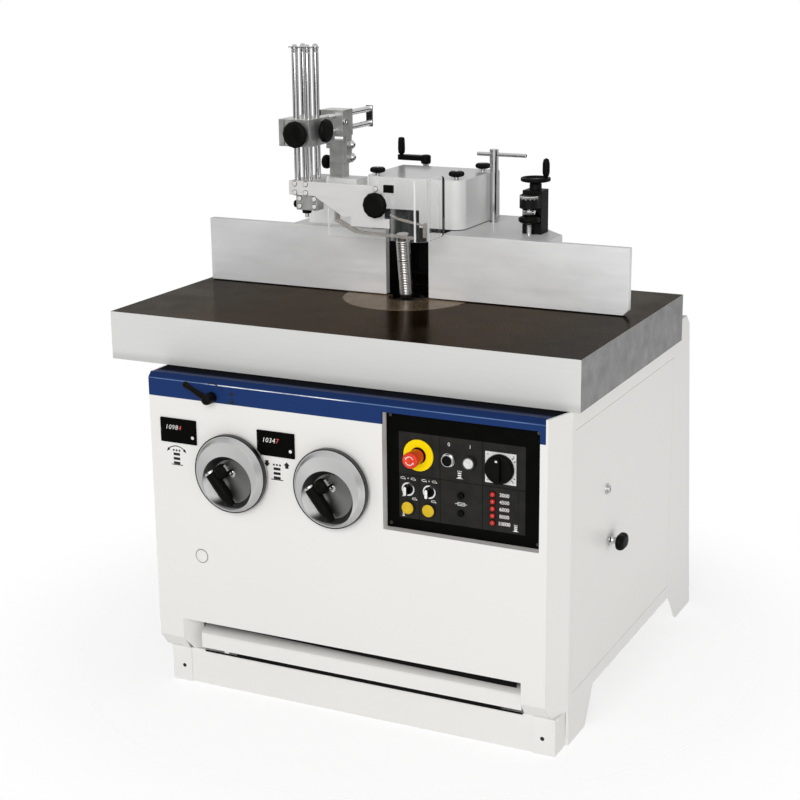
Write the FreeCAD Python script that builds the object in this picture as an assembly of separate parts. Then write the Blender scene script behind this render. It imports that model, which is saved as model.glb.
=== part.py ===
import FreeCAD, Part
import math
import os

# Spindle moulder with a tilting spindle. Millimetres, +Z up, +Y away from the operator.
# Everything is drawn about the middle of the table, with the floor at zero height,
# and is moved at the end so that the origin is the bottom centre of the whole machine.

# Fits
running_gap = 0.05
face_gap = 0.3
sheet = 5.0

# Table
table_length = 1200.0
table_depth = 730.0
table_height = 900.0
apron_height = 117.0
apron_wall = 35.0
plate_thickness = 40.0
insert_radius = 158.0
insert_thickness = 10.0
insert_hole_radius = 46.0
table_bore_radius = 148.0

# Spindle line: where it crosses the table top, and how far it leans to the operator
spindle_x = -17.0
spindle_y = 67.0
rest_tilt = 8.0

# Cabinet outline
front_y = -440.0
left_x = -447.0
right_x = 580.0
fold_run = 24.0
fold_depth = 83.0
fold_bevel = 12.0
band_height = 55.0
front_bottom_height = 124.0
plinth_setback = 26.0
plinth_height = 89.0
plinth_left_inset = 18.0
plinth_right_inset = 7.0
plinth_wall = 10.0
end_block_length = 53.0
end_block_proud = 4.0
tray_thickness = 9.0
shelf_lap_gap = 1.0
rear_top_y = 497.0
rear_top_drop = 77.0
rear_top_bevel = 25.0
rear_foot_y = 585.0
behind_table_gap = 1.0
foot_front_y = -351.0
foot_front_end_y = -244.0
foot_front_slant = 50.0
foot_rear_start_y = 460.0
foot_rear_slant = 65.0
arch_height = 86.0
upright_width = 45.0
upright_inset = 5.0
upright_clear = 5.0
upright_right_clear = 22.0

# Cable gland low in the rear panel
gland_x = 380.0
gland_height = 190.0
gland_radius = 14.0
gland_length = 22.0
gland_bore_radius = 6.0

# Recess low in the front, with a bent rail in it
recess_left_margin = 66.0
recess_right_margin = 57.0
recess_top_height = 174.0
recess_depth = 45.0
left_cheek_run = 31.0
right_cheek_run = 2.0
rail_left_gap = 10.0
rail_right_gap = 2.0
rail_front_y = -424.0
rail_bottom_height = 100.0
rail_edge_height = 138.0
rail_slope_run = 36.0
rail_slope_rise = 26.0
rail_web_width = 12.0
rail_web_inset = 60.0

# Side door and its knob
door_front_margin = 22.0
door_rear_overlap = 7.0
door_bottom_margin = 31.0
door_top_margin = 48.0
door_gap = 0.8
door_pin_radius = 1.6
door_pin_length = 8.0
door_pin_inset = 6.0
door_knob_inset = 243.0
door_knob_rise = 285.0
door_stem_radius = 8.0
door_stem_length = 20.0
door_grip_length = 58.0
door_grip_width = 24.0
door_grip_depth = 20.0

# Control panel, sunk in the front
panel_corner_margin = 18.0
panel_drop = 27.0
panel_wall = 3.0
panel_depth = 22.0
bezel_thickness = 10.0
bezel_back_gap = 3.0
plate_width = 302.0
plate_height = 200.0
bezel_left = 30.0
bezel_right = 41.0
bezel_bottom = 26.0
bezel_top = 46.0
plate_step = 1.0
disc_radius = 36.0
disc_height = 3.0
estop_place_shares = (0.161, 0.75)
estop_radius = 18.5
estop_stem_radius = 14.0
estop_height = 48.0
estop_travel = 5.0
collar_radius = 15.5
collar_height = 5.0
cap_radius = 12.0
cap_height = 9.0
cap_tail = 14.0
cap_flange_radius = 14.0
cap_flange_height = 2.0
stop_place_shares = (0.4023, 0.745)
start_place_shares = (0.5699, 0.745)
left_selector_place_shares = (0.0798, 0.3475)
right_selector_place_shares = (0.251, 0.3475)
selector_height = 14.0
selector_grip_width = 7.0
left_jog_place_shares = (0.0755, 0.1275)
right_jog_place_shares = (0.2424, 0.1275)
main_place_shares = (0.8113, 0.73)
main_plate_width = 72.0
main_plate_height = 70.0
main_radius = 33.0
main_height = 16.0
main_grip_width = 14.0
main_grip_height = 10.0
main_stem_radius = 10.0
upper_fuse_place_shares = (0.5, 0.3535)
lower_fuse_place_shares = (0.5, 0.15)
fuse_radius = 8.0
fuse_height = 8.0

# Counters, handwheels and clamping lever on the front
counter_inset = 30.0
counter_width = 98.0
counter_pitch = 262.5
counter_drop = 105.0
counter_height = 59.0
counter_proud = 4.0
wheel_inset = 226.0
wheel_pitch = 262.5
wheel_drop = 216.5
wheel_radius = 93.5
wheel_back = 6.0
wheel_rim_height = 21.0
wheel_face_height = 34.0
wheel_face_radius = 89.0
wheel_crown_radius = 80.0
wheel_hub_radius = 30.0
wheel_shaft_radius = 12.0
wheel_shaft_tail = 25.0
bowl_drop = 20.0
bowl_radius = 66.0
bowl_floor_radius = 52.0
bowl_floor_height = 10.0
handle_axis_x = -35.0
handle_axis_z = -8.0
handle_axis_height = 27.0
handle_heading = -52.0
handle_eye_radius = 13.0
handle_eye_half = 11.0
handle_hub_radius = 15.0
handle_hub_start = 11.0
handle_hub_end = 40.0
handle_pin_radius = 4.0
handle_grip_radius = 12.0
handle_grip_start = 9.0
handle_length = 72.0
ear_start = 12.0
ear_width = 6.0
ear_far_start = 41.0
ear_half = 8.0
ear_top = 6.0
lever_inset = 175.0
lever_drop = 42.0
lever_heading = 153.0
lever_hub_radius = 15.0
lever_hub_height = 34.0
lever_neck_height = 18.0
lever_arm_thickness = 11.0
lever_root_half = 8.0
lever_tip_half = 6.0
lever_length = 68.0
lever_stud_radius = 7.0

# Tilting mechanism under the table, measured down the spindle line from the table top
guide_inner_radius = 190.0
guide_outer_radius = 225.0
guide_spacing = 90.0
guide_width = 22.0
guide_sweep = 64.0
guide_foot_length = 44.0
shoe_depth = 34.0
shoe_sweep = 12.0
sleeve_radius = 66.0
sleeve_top = 130.0
sleeve_bottom = 262.0
quill_radius = 50.0
quill_top = 82.0
quill_bottom = 312.0
bracket_thickness = 32.0
bracket_half = 55.0
motor_spacing = 195.0
motor_radius = 75.0
motor_length = 115.0
motor_wall = 12.0
motor_bore_radius = 52.0
rotor_radius = 46.0
rotor_length = 80.0
rotor_shaft_radius = 14.0
motor_seat_radius = 16.0
pulley_top = 326.0
pulley_width = 46.0
motor_pulley_radius = 58.0
spindle_pulley_radius = 40.0
belt_thickness = 4.0
belt_inset = 4.0
spindle_radius = 22.0
nose_radius = 14.0
nose_start = 50.0
spindle_bottom = 384.0
ring_outer_radius = 17.5
ring_base = 12.0
ring_heights = (30.0, 20.0, 40.0, 15.0, 30.0)
nut_radius = 15.5
nut_height = 16.0

# Fence hood: base on the table, cover on the base
fence_front_y = 67.0
fence_thickness = 20.0
fence_height = 162.0
fence_float = 2.0
fence_chamfer = 12.0
left_fence_start_x = -583.0
left_fence_end_x = -74.0
right_fence_start_x = 42.0
right_fence_end_x = 556.0
carrier_thickness = 12.0
carrier_inset = 8.0
carrier_height = 130.0
carrier_bottom = 12.0
hood_left_x = -365.0
hood_right_x = 335.0
hood_side_y = 215.0
hood_shoulder_run = 45.0
hood_back_y = 440.0
hood_back_left_x = -160.0
hood_back_right_x = 130.0
hood_height = 155.0
hood_lug_left_x = -195.0
hood_lug_right_x = -105.0
hood_lug_y = 472.0
chamber_left_x = -140.0
chamber_right_x = 60.0
chamber_back_y = 395.0
chamber_sill_lap = 20.0
chamber_sill_thickness = 3.0
cover_left_x = -182.0
cover_right_x = 88.0
cover_front_y = 165.0
cover_back_y = 430.0
cover_top_height = 280.0
cover_wall = 4.0
cover_corner_radius = 30.0
cover_back_radius = 42.0
mouth_left_x = -132.0
mouth_right_x = -29.0
mouth_height = 45.0
spout_x = -40.0
spout_height = 213.0
spout_radius = 50.0
spout_length = 38.0
spout_neck = 5.0
spout_step = 2.0
knob_radius = 18.5
knob_height = 12.0
knob_stem_radius = 6.0
knob_stem_length = 5.0
knob_lobes = 6
lobe_share = 0.26
lobe_reach_share = 1.14
cover_knob_places = ((-157.0, 192.0), (60.0, 196.0), (60.0, 362.0))

# Hood clamp screw, tommy bar and hood crank
clamp_x = 105.0
clamp_y = 328.0
clamp_radius = 11.0
clamp_top_height = 341.0
clamp_root_radius = 7.0
clamp_root_length = 40.0
tommy_height = 328.0
tommy_radius = 5.0
tommy_left = 46.0
tommy_right = 88.0
crank_x = -146.0
crank_y = 455.0
crank_arm_length = 72.0
crank_arm_width = 18.0
crank_arm_thickness = 11.0
crank_clear = 4.0
crank_shaft_radius = 8.0
crank_shaft_root = 30.0
crank_grip_radius = 9.0
crank_grip_length = 38.0
crank_hub_radius = 13.0

# Fine adjuster of the right fence
adjuster_left_x = 236.0
adjuster_width = 50.0
adjuster_front_y = 197.0
adjuster_depth = 48.0
adjuster_top_height = 262.0
adjuster_neck_radius = 15.0
adjuster_neck_height = 14.0
adjuster_arm_height = 222.0
adjuster_arm_thickness = 32.0
adjuster_arm_reach = 16.0
adjuster_arm_radius = 24.0
lock_knob_radius = 27.0
lock_knob_height = 18.0
lock_knob_base = 184.0
lock_screw_radius = 6.0
lock_collar_radius = 9.0
dial_radius = 37.0
dial_height = 16.0
dial_stem_radius = 6.0
dial_dish_share = 0.78
dial_dish_depth = 6.0
dial_grip_radius = 9.0
dial_grip_reach = 27.0
dial_grip_length = 48.0

# Overhead guard
post_left_x = -272.0
post_width = 39.0
post_front_y = 150.0
post_depth = 31.0
post_top_height = 368.0
stand_left_x = -330.0
stand_right_x = -190.0
stand_front_y = 140.0
stand_depth = 60.0
stand_height = 273.0
head_pivot_height = 356.0
head_front_y = 132.0
head_depth = 54.0
head_bottom_height = 379.0
head_top_height = 445.0
head_side = 13.0
cheek_thickness = 10.0
cheek_bottom_height = 310.0
cheek_left_bottom_height = 346.0
cheek_half = 14.0
pivot_pin_radius = 6.0
pivot_head_radius = 9.0
pivot_head_height = 7.0
cross_x = -250.0
cross_lower_height = 393.0
cross_spacing = 37.0
cross_radius = 7.5
cross_front_y = 14.0
cross_back_y = 330.0
cross_plate_thickness = 4.0
cross_plate_half = 9.0
block_left_x = -295.0
block_right_x = -212.0
block_front_y = -62.0
block_back_y = 40.0
block_bottom_height = 375.0
block_height = 65.0
block_slit = 2.0
block_slit_inset = 14.0
block_slit_depth = 30.0
column_left_x = -258.0
column_pitch_x = 34.0
column_front_y = -40.0
column_pitch_y = 40.0
column_radius = 7.5
column_top_height = 617.0
column_cap_height = 8.0
column_cap_radius = 8.5
guard_front_y = -66.0
guard_plate_thickness = 6.0
guard_left_x = -269.0
guard_right_x = -12.0
guard_top_height = 293.0
tab_bottom_height = 259.0
tab_end_x = -200.0
slant_end_x = -120.0
slant_end_height = 212.0
strip_left_x = -101.0
strip_right_x = 2.0
strip_top_height = 215.0
strip_bottom_height = 192.0
foot_right_x = -208.0
foot_back_y = 12.0
low_block_left_x = -253.0
low_block_right_x = -195.0
low_block_back_y = -26.0
low_block_bottom_height = 222.0
spigot_x = -233.0
spigot_y = -43.0
spigot_radius = 5.0
spigot_length = 20.0
shield_left_x = -165.0
shield_right_x = 92.0
shield_back_y = 55.0
shield_bottom_height = 163.0
shield_top_height = 309.0
shield_thickness = 3.0
shield_bend = 25.0
shield_corner = 15.0
shoe_left_x = -150.0
shoe_bend_x = -95.0
shoe_right_x = 60.0
shoe_top_height = 225.0
shoe_drop_height = 200.0
shoe_bend_height = 174.0
shoe_end_height = 168.0
shoe_thickness = 4.0
shoe_width = 22.0
grip_knob_radius = 31.0
grip_knob_height = 20.0
grip_stem_radius = 8.0
grip_stem_length = 6.0
block_knob_x = -241.0
block_knob_height = 406.0
plate_knob_x = -27.0
plate_knob_height = 249.0
side_knob_radius = 27.0
side_knob_y = -7.0
side_knob_height = 410.0
post_knob_radius = 18.0
post_knob_height = 310.0

# Directions
RIGHT = FreeCAD.Vector(1, 0, 0)
BACK = FreeCAD.Vector(0, 1, 0)
FRONT = FreeCAD.Vector(0, -1, 0)
UP = FreeCAD.Vector(0, 0, 1)
DOWN = FreeCAD.Vector(0, 0, -1)
ORIGIN = FreeCAD.Vector(0, 0, 0)

# Heights that follow from the sizes above
table_under = table_height - plate_thickness
shelf_height = table_height - apron_height
band_bottom_height = shelf_height - band_height
half_length = table_length / 2
half_depth = table_depth / 2
panel_y = front_y + panel_depth
fence_back_y = fence_front_y + fence_thickness
pivot = FreeCAD.Vector(spindle_x, spindle_y, table_height)
guard_back_y = guard_front_y + guard_plate_thickness
rear_top_height = table_height - rear_top_drop
fold_x = right_x - fold_run
fold_y = front_y + fold_depth
plinth_y = front_y + plinth_setback
plinth_left_x = left_x + plinth_left_inset
plinth_right_x = right_x - plinth_right_inset
recess_left_x = left_x + recess_left_margin
recess_right_x = fold_x - recess_right_margin
upright_reach_y = half_depth - apron_wall - upright_clear
shelf_back_y = -half_depth + apron_wall - shelf_lap_gap
panel_right_x = fold_x - panel_corner_margin
panel_left_x = panel_right_x - bezel_right - plate_width - bezel_left
panel_top_height = shelf_height - panel_drop
panel_bottom_height = panel_top_height - bezel_top - plate_height - bezel_bottom
plate_left_x = panel_left_x + bezel_left
plate_right_x = plate_left_x + plate_width
plate_bottom_height = panel_bottom_height + bezel_bottom
plate_top_height = plate_bottom_height + plate_height
door_front_y = fold_y + door_front_margin
door_rear_y = half_depth + door_rear_overlap
door_bottom_height = plinth_height + door_bottom_margin
door_top_height = shelf_height - door_top_margin
door_knob_y = door_front_y + door_knob_inset
door_knob_height = door_bottom_height + door_knob_rise
counter_left_x = left_x + counter_inset
counter_bottom_height = shelf_height - counter_drop - counter_height
wheel_x = left_x + wheel_inset
wheel_z = shelf_height - wheel_drop
lever_x = left_x + lever_inset
lever_z = shelf_height - lever_drop


def block(x_span, y_span, z_span):
    corner = FreeCAD.Vector(x_span[0], y_span[0], z_span[0])
    return Part.makeBox(x_span[1] - x_span[0], y_span[1] - y_span[0], z_span[1] - z_span[0], corner)


def rod(start, way, radius, length):
    return Part.makeCylinder(radius, length, FreeCAD.Vector(*start), way)


def slab(points, way, depth):
    """A flat outline, given as corner points, pushed along one direction."""
    corners = [FreeCAD.Vector(*point) for point in points]
    face = Part.Face(Part.makePolygon(corners + corners[:1]))
    return face.extrude(FreeCAD.Vector(way).multiply(depth))


def side_slab(outline, x_start, width):
    """An outline of (y, z) corners with a width across the machine."""
    return slab([(x_start, y, z) for y, z in outline], RIGHT, width)


def front_slab(outline, y_start, depth):
    """An outline of (x, z) corners with a depth to the back."""
    return slab([(x, y_start, z) for x, z in outline], BACK, depth)


def flat_slab(outline, z_start, height):
    """An outline of (x, y) corners with a height."""
    return slab([(x, y, z_start) for x, y in outline], UP, height)


def turned(outline):
    """An outline of (radius, height) corners turned about +Z."""
    corners = [FreeCAD.Vector(radius, 0, height) for radius, height in outline]
    face = Part.Face(Part.makePolygon(corners + corners[:1]))
    return face.revolve(ORIGIN, UP, 360)


def join(shapes):
    shape = shapes[0]
    if len(shapes) > 1:
        shape = shape.multiFuse(shapes[1:])
    return shape.removeSplitter()


def rounded(shape, radius, picks):
    """Fillet of the edges that a test picks out."""
    return shape.makeFillet(radius, [edge for edge in shape.Edges if picks(edge)])


def along(edge, way):
    ends = edge.Vertexes
    return len(ends) == 2 and abs((ends[1].Point - ends[0].Point).normalize().dot(way)) > 0.999


def facing_front(shape, x, y, z):
    """Moves a shape drawn on +Z so that its +Z points to the operator."""
    turned_shape = shape.copy()
    turned_shape.rotate(ORIGIN, RIGHT, 90)
    turned_shape.translate(FreeCAD.Vector(x, y, z))
    return turned_shape


def facing_left(shape, x, y, z):
    turned_shape = shape.copy()
    turned_shape.rotate(ORIGIN, BACK, -90)
    turned_shape.translate(FreeCAD.Vector(x, y, z))
    return turned_shape


def facing_right(shape, x, y, z):
    turned_shape = shape.copy()
    turned_shape.rotate(ORIGIN, BACK, 90)
    turned_shape.translate(FreeCAD.Vector(x, y, z))
    return turned_shape


def tilted(shape):
    """Moves a shape drawn about an upright spindle line onto the leaning line."""
    leaning = shape.copy()
    leaning.rotate(ORIGIN, RIGHT, rest_tilt)
    leaning.translate(pivot)
    return leaning


def lobed_knob(radius, height, stem_radius, stem_length):
    """A hand knob with rounded grips, standing on +Z on its stem."""
    body = Part.makeCylinder(radius, height, FreeCAD.Vector(0, 0, stem_length))
    groove = Part.makeCylinder(radius * lobe_share, height, FreeCAD.Vector(0, 0, stem_length))
    grooves = []
    for number in range(knob_lobes):
        turn = 2 * math.pi * number / knob_lobes
        reach = radius * lobe_reach_share
        cutter = groove.copy()
        cutter.translate(FreeCAD.Vector(reach * math.cos(turn), reach * math.sin(turn), 0))
        grooves.append(cutter)
    return join([body.cut(grooves), Part.makeCylinder(stem_radius, stem_length)])


def round_knob(radius, height, stem_radius, stem_length):
    """A round hand knob, slightly waisted below its crown, standing on +Z."""
    waist = radius * dial_dish_share
    top = stem_length + height
    crown = top - stem_length / 2
    outline = [(0, 0), (stem_radius, 0), (stem_radius, stem_length), (waist, stem_length),
               (radius, crown - stem_length), (radius, crown), (waist, top), (0, top)]
    return turned(outline)


def arc_sector(inner, outer, sweep, x_start, width):
    """A ring sector about the pivot, centred straight below it."""
    end = x_start + width
    corners = [FreeCAD.Vector(x, 0, -radius) for x, radius in
               ((x_start, inner), (end, inner), (end, outer), (x_start, outer))]
    face = Part.Face(Part.makePolygon(corners + corners[:1]))
    face.rotate(ORIGIN, RIGHT, -sweep)
    return face.revolve(ORIGIN, RIGHT, 2 * sweep)


def make_table():
    top = block((-half_length, half_length), (-half_depth, half_depth), (shelf_height, table_height))
    hollow = block((-half_length + apron_wall, half_length - apron_wall),
                   (-half_depth + apron_wall, half_depth - apron_wall), (shelf_height, table_under))
    bore = rod((spindle_x, spindle_y, table_under), UP, table_bore_radius, plate_thickness)
    seat = rod((spindle_x, spindle_y, table_height - insert_thickness), UP,
               insert_radius + face_gap, insert_thickness)
    return top.cut([hollow, bore, seat])


def make_table_insert():
    base = (spindle_x, spindle_y, table_height - insert_thickness)
    disc = rod(base, UP, insert_radius, insert_thickness)
    return disc.cut(rod(base, UP, insert_hole_radius, insert_thickness))


def make_base_frame():
    floor_left = left_x + sheet
    floor_right = right_x - sheet
    plinth_back = plinth_y + plinth_wall
    parts = [block((plinth_left_x, plinth_right_x), (plinth_y, plinth_back), (0, plinth_height))]
    for start in (plinth_left_x, plinth_right_x - end_block_length):
        parts.append(block((start, start + end_block_length), (plinth_y - end_block_proud, plinth_y),
                           (0, plinth_height)))
    parts.append(block((plinth_right_x - plinth_wall, plinth_right_x), (plinth_back, foot_front_y), (0, plinth_height)))
    tray_back = rear_line(plinth_height)
    parts.append(block((floor_left, floor_right), (plinth_back, tray_back),
                       (plinth_height - tray_thickness, plinth_height)))
    for x_start in (floor_left + upright_inset, floor_right - upright_right_clear - upright_width):
        for y_start in (-upright_reach_y, upright_reach_y - upright_width):
            parts.append(block((x_start, x_start + upright_width), (y_start, y_start + upright_width),
                               (plinth_height, table_under)))
    parts += make_kick_rail(plinth_back)
    return join(parts)


def make_kick_rail(plinth_back):
    start = recess_left_x + left_cheek_run + rail_left_gap
    end = recess_right_x - right_cheek_run - rail_right_gap
    slope_top = rail_edge_height + rail_slope_rise
    slope_back = rail_front_y + rail_slope_run
    outline = [(rail_front_y, rail_bottom_height), (rail_front_y, rail_edge_height), (slope_back, slope_top),
               (slope_back, slope_top - sheet), (rail_front_y + sheet, rail_edge_height - sheet),
               (rail_front_y + sheet, rail_bottom_height)]
    parts = [side_slab(outline, start, end - start)]
    for web in (start + rail_web_inset, end - rail_web_inset - rail_web_width):
        parts.append(block((web, web + rail_web_width), (rail_front_y + sheet, plinth_back),
                           (plinth_height, rail_edge_height - sheet)))
    return parts


def rear_line(height):
    """Depth of the leaning rear face at a height."""
    start = rear_top_height - rear_top_bevel
    return rear_top_y + (rear_foot_y - rear_top_y) * (start - height) / start


def side_outline(front_edge):
    """The (y, z) outline of a side panel behind its front edge corners."""
    behind = half_depth + behind_table_gap
    return front_edge + [
        (behind, shelf_height), (behind, rear_top_height),
        (rear_top_y - rear_top_bevel, rear_top_height), (rear_top_y, rear_top_height - rear_top_bevel),
        (rear_foot_y, 0), (foot_rear_start_y, 0), (foot_rear_start_y - foot_rear_slant, arch_height),
        (foot_front_end_y + foot_front_slant, arch_height), (foot_front_end_y, 0), (foot_front_y, 0)]


def door_pins(radius_gap, end_gap):
    """The two pivot pins at the top and bottom of the door's rear edge, grown by the given gaps."""
    x = right_x - sheet / 2
    y = door_rear_y - door_pin_inset
    radius = door_pin_radius + radius_gap
    length = door_pin_length + end_gap
    upper = rod((x, y, door_top_height), UP, radius, length)
    lower = rod((x, y, door_bottom_height), DOWN, radius, length)
    return [upper, lower]


def make_right_panel():
    outline = side_outline([(fold_y, plinth_height), (fold_y, shelf_height)])
    panel = side_slab(outline, right_x - sheet, sheet)
    opening = block((right_x - sheet, right_x), (door_front_y - door_gap, door_rear_y + door_gap),
                    (door_bottom_height - door_gap, door_top_height + door_gap))
    bores = door_pins(running_gap, face_gap)
    return panel.cut([opening] + bores)


def make_left_panel():
    inner_y = front_y + sheet
    corner_y = front_y + fold_bevel
    front_edge = [(foot_front_y, plinth_height), (inner_y - front_y + plinth_y, plinth_height),
                  (inner_y, front_bottom_height), (inner_y, shelf_height - fold_bevel),
                  (corner_y, shelf_height - sheet), (corner_y, shelf_height)]
    return side_slab(side_outline(front_edge), left_x, sheet)


def make_rear_panel():
    behind = half_depth + behind_table_gap
    bevel_y = rear_top_y - rear_top_bevel
    bevel_z = rear_top_height - rear_top_bevel
    foot_y = rear_line(plinth_height)
    outline = [(behind, rear_top_height), (bevel_y, rear_top_height), (rear_top_y, bevel_z),
               (foot_y, plinth_height), (foot_y - sheet, plinth_height), (rear_top_y - sheet, bevel_z - sheet),
               (bevel_y - sheet, rear_top_height - sheet), (behind, rear_top_height - sheet)]
    panel = side_slab(outline, left_x + sheet, right_x - left_x - 2 * sheet)
    start = (gland_x, rear_line(gland_height) - sheet, gland_height)
    gland = rod(start, BACK, gland_radius, gland_length)
    bore = rod(start, BACK, gland_bore_radius, gland_length)
    return join([panel, gland]).cut(bore)


def below_chamfer():
    """The space under the sloping lower edge of the front."""
    outline = [(front_y, front_bottom_height), (plinth_y, plinth_height), (plinth_y, 0), (front_y, 0)]
    return side_slab(outline, left_x, right_x - left_x)


def make_front_panel():
    inner_y = front_y + sheet
    parts = [block((left_x, fold_x), (front_y, inner_y), (front_bottom_height, band_bottom_height))]
    corner = [(fold_x - sheet, front_y), (fold_x, front_y), (right_x, fold_y), (right_x - sheet, fold_y),
              (fold_x - sheet, inner_y)]
    parts.append(flat_slab(corner, plinth_height, shelf_height - plinth_height))
    chamfer = [(front_y, front_bottom_height), (plinth_y, plinth_height), (plinth_y + sheet, plinth_height),
               (inner_y, front_bottom_height)]
    parts.append(side_slab(chamfer, left_x, fold_x - left_x))
    skin = join(parts)
    recess = block((recess_left_x, recess_right_x), (front_y, front_y + recess_depth), (0, recess_top_height))
    window = block((panel_left_x, panel_right_x), (front_y, inner_y), (panel_bottom_height, panel_top_height))
    skin = skin.cut([recess, window])
    lips = [block((recess_left_x, recess_right_x), (front_y, front_y + recess_depth),
                  (recess_top_height, recess_top_height + sheet))]
    for edge, run in ((recess_left_x, left_cheek_run), (recess_right_x, -right_cheek_run)):
        thick = math.copysign(sheet, run)
        cheek = [(edge - thick, front_y), (edge, front_y), (edge + run, front_y + recess_depth),
                 (edge + run - thick, front_y + recess_depth)]
        lips.append(flat_slab(cheek, plinth_height, recess_top_height - plinth_height))
    tunnel = block((panel_left_x - panel_wall, panel_right_x + panel_wall),
                   (inner_y, panel_y + bezel_thickness + bezel_back_gap),
                   (panel_bottom_height - panel_wall, panel_top_height + panel_wall))
    hole = block((panel_left_x, panel_right_x), (inner_y, panel_y + bezel_thickness + bezel_back_gap),
                 (panel_bottom_height, panel_top_height))
    lips.append(tunnel.cut(hole))
    panel = join([skin] + lips).cut(below_chamfer())
    holes = []
    for number in range(2):
        holes.append(rod((wheel_x + number * wheel_pitch, front_y, wheel_z), BACK,
                         wheel_shaft_radius + running_gap, sheet))
    return panel.cut(holes)


def make_top_band():
    inner_y = front_y + sheet
    corner_y = front_y + fold_bevel
    fold_height = shelf_height - fold_bevel
    outline = [(front_y, band_bottom_height), (front_y, fold_height), (corner_y, shelf_height),
               (corner_y, shelf_height - sheet), (inner_y, fold_height), (inner_y, band_bottom_height)]
    end_x = fold_x - sheet
    band = side_slab(outline, left_x, end_x - left_x)
    corner_x = end_x + (right_x - fold_x) * (corner_y - inner_y) / (fold_y - inner_y)
    shelf = [(left_x + sheet, corner_y), (corner_x, corner_y), (right_x - sheet, fold_y),
             (right_x - sheet, shelf_back_y), (left_x + sheet, shelf_back_y)]
    band = join([band, flat_slab(shelf, shelf_height - sheet, sheet)])
    window = block((panel_left_x, panel_right_x), (front_y, inner_y), (panel_bottom_height, panel_top_height))
    stud = rod((lever_x, front_y, lever_z), BACK, lever_stud_radius + running_gap, sheet)
    return band.cut([window, stud])


def make_side_door():
    leaf = block((right_x - sheet, right_x), (door_front_y, door_rear_y), (door_bottom_height, door_top_height))
    return join([leaf] + door_pins(0, 0))


def make_door_knob():
    stem = rod((right_x, door_knob_y, door_knob_height), RIGHT, door_stem_radius, door_stem_length)
    start = right_x + door_stem_length
    grip = block((start, start + door_grip_depth),
                 (door_knob_y - door_grip_width / 2, door_knob_y + door_grip_width / 2),
                 (door_knob_height - door_grip_length / 2, door_knob_height + door_grip_length / 2))
    grip = rounded(grip, door_grip_width / 3, lambda edge: along(edge, RIGHT))
    return join([stem, grip])


def make_control_bezel():
    back_y = panel_y + bezel_thickness
    frame = block((panel_left_x, panel_right_x), (panel_y, back_y), (panel_bottom_height, panel_top_height))
    return frame.cut(block((plate_left_x, plate_right_x), (panel_y, back_y),
                           (plate_bottom_height, plate_top_height)))


def on_plate(place_shares):
    """The (x, z) point at given shares of the control plate's width and height."""
    across_share, up_share = place_shares
    return plate_left_x + across_share * plate_width, plate_bottom_height + up_share * plate_height


estop_x, estop_z = on_plate(estop_place_shares)
main_x, main_z = on_plate(main_place_shares)


def make_control_plate():
    face_y = panel_y + plate_step
    depth = bezel_thickness - plate_step
    parts = [block((plate_left_x, plate_right_x), (face_y, face_y + depth),
                   (plate_bottom_height, plate_top_height))]
    parts.append(rod((estop_x, face_y, estop_z), FRONT, disc_radius, disc_height))
    parts.append(block((main_x - main_plate_width / 2, main_x + main_plate_width / 2),
                       (face_y - disc_height, face_y),
                       (main_z - main_plate_height / 2, main_z + main_plate_height / 2)))
    collars = [on_plate(shares) for shares in
               (stop_place_shares, start_place_shares, left_jog_place_shares, right_jog_place_shares,
                left_selector_place_shares, right_selector_place_shares)]
    for x, z in collars:
        parts.append(rod((x, face_y, z), FRONT, collar_radius, collar_height))
    plate = join(parts)
    reach = depth + disc_height + collar_height
    holes = [rod((estop_x, face_y + depth, estop_z), FRONT, estop_stem_radius + running_gap, reach),
             rod((main_x, face_y + depth, main_z), FRONT, main_stem_radius + running_gap, reach)]
    for x, z in collars:
        holes.append(rod((x, face_y + depth, z), FRONT, cap_radius + running_gap, reach))
    return plate.cut(holes)


def make_push_button(place_shares):
    """A cap that slides in its collar, with a wider crown in front of it."""
    x, z = on_plate(place_shares)
    crown = collar_height + estop_travel
    outline = [(0, -cap_tail), (cap_radius, -cap_tail), (cap_radius, crown),
               (cap_flange_radius, crown), (cap_flange_radius, crown + cap_flange_height),
               (0, crown + cap_flange_height)]
    return facing_front(turned(outline), x, panel_y + plate_step, z)


def make_estop():
    crown = disc_height + estop_travel
    outline = [(0, -cap_tail), (estop_stem_radius, -cap_tail), (estop_stem_radius, crown),
               (estop_radius, crown), (estop_radius, estop_height), (0, estop_height)]
    return facing_front(turned(outline), estop_x, panel_y + plate_step, estop_z)


def make_selector(place_shares):
    x, z = on_plate(place_shares)
    body = turned([(0, -cap_tail), (cap_radius, -cap_tail), (cap_radius, cap_height), (0, cap_height)])
    grip = block((-selector_grip_width / 2, selector_grip_width / 2), (-cap_radius, cap_radius),
                 (cap_height, cap_height + selector_height))
    grip = grip.common(Part.makeCylinder(cap_radius, cap_height + selector_height))
    return facing_front(join([body, grip]), x, panel_y + plate_step, z)


def make_main_switch():
    base = disc_height
    top = base + main_height
    body = turned([(0, -cap_tail), (main_stem_radius, -cap_tail), (main_stem_radius, base),
                   (main_radius, base), (main_radius, top), (0, top)])
    grip = block((-main_grip_width / 2, main_grip_width / 2), (-main_radius, main_radius),
                 (top, top + main_grip_height))
    grip = grip.common(Part.makeCylinder(main_radius, top + main_grip_height))
    return facing_front(join([body, grip]), main_x, panel_y + plate_step, main_z)


def make_fuse_caps():
    face_y = panel_y + plate_step
    caps = []
    for place_shares in (upper_fuse_place_shares, lower_fuse_place_shares):
        x, z = on_plate(place_shares)
        caps.append(rod((x, face_y, z), FRONT, fuse_radius, fuse_height))
    return Part.makeCompound(caps)


def make_counters():
    cases = []
    for number in range(2):
        start = counter_left_x + number * counter_pitch
        cases.append(block((start, start + counter_width), (front_y - counter_proud, front_y),
                           (counter_bottom_height, counter_bottom_height + counter_height)))
    return Part.makeCompound(cases)


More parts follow.
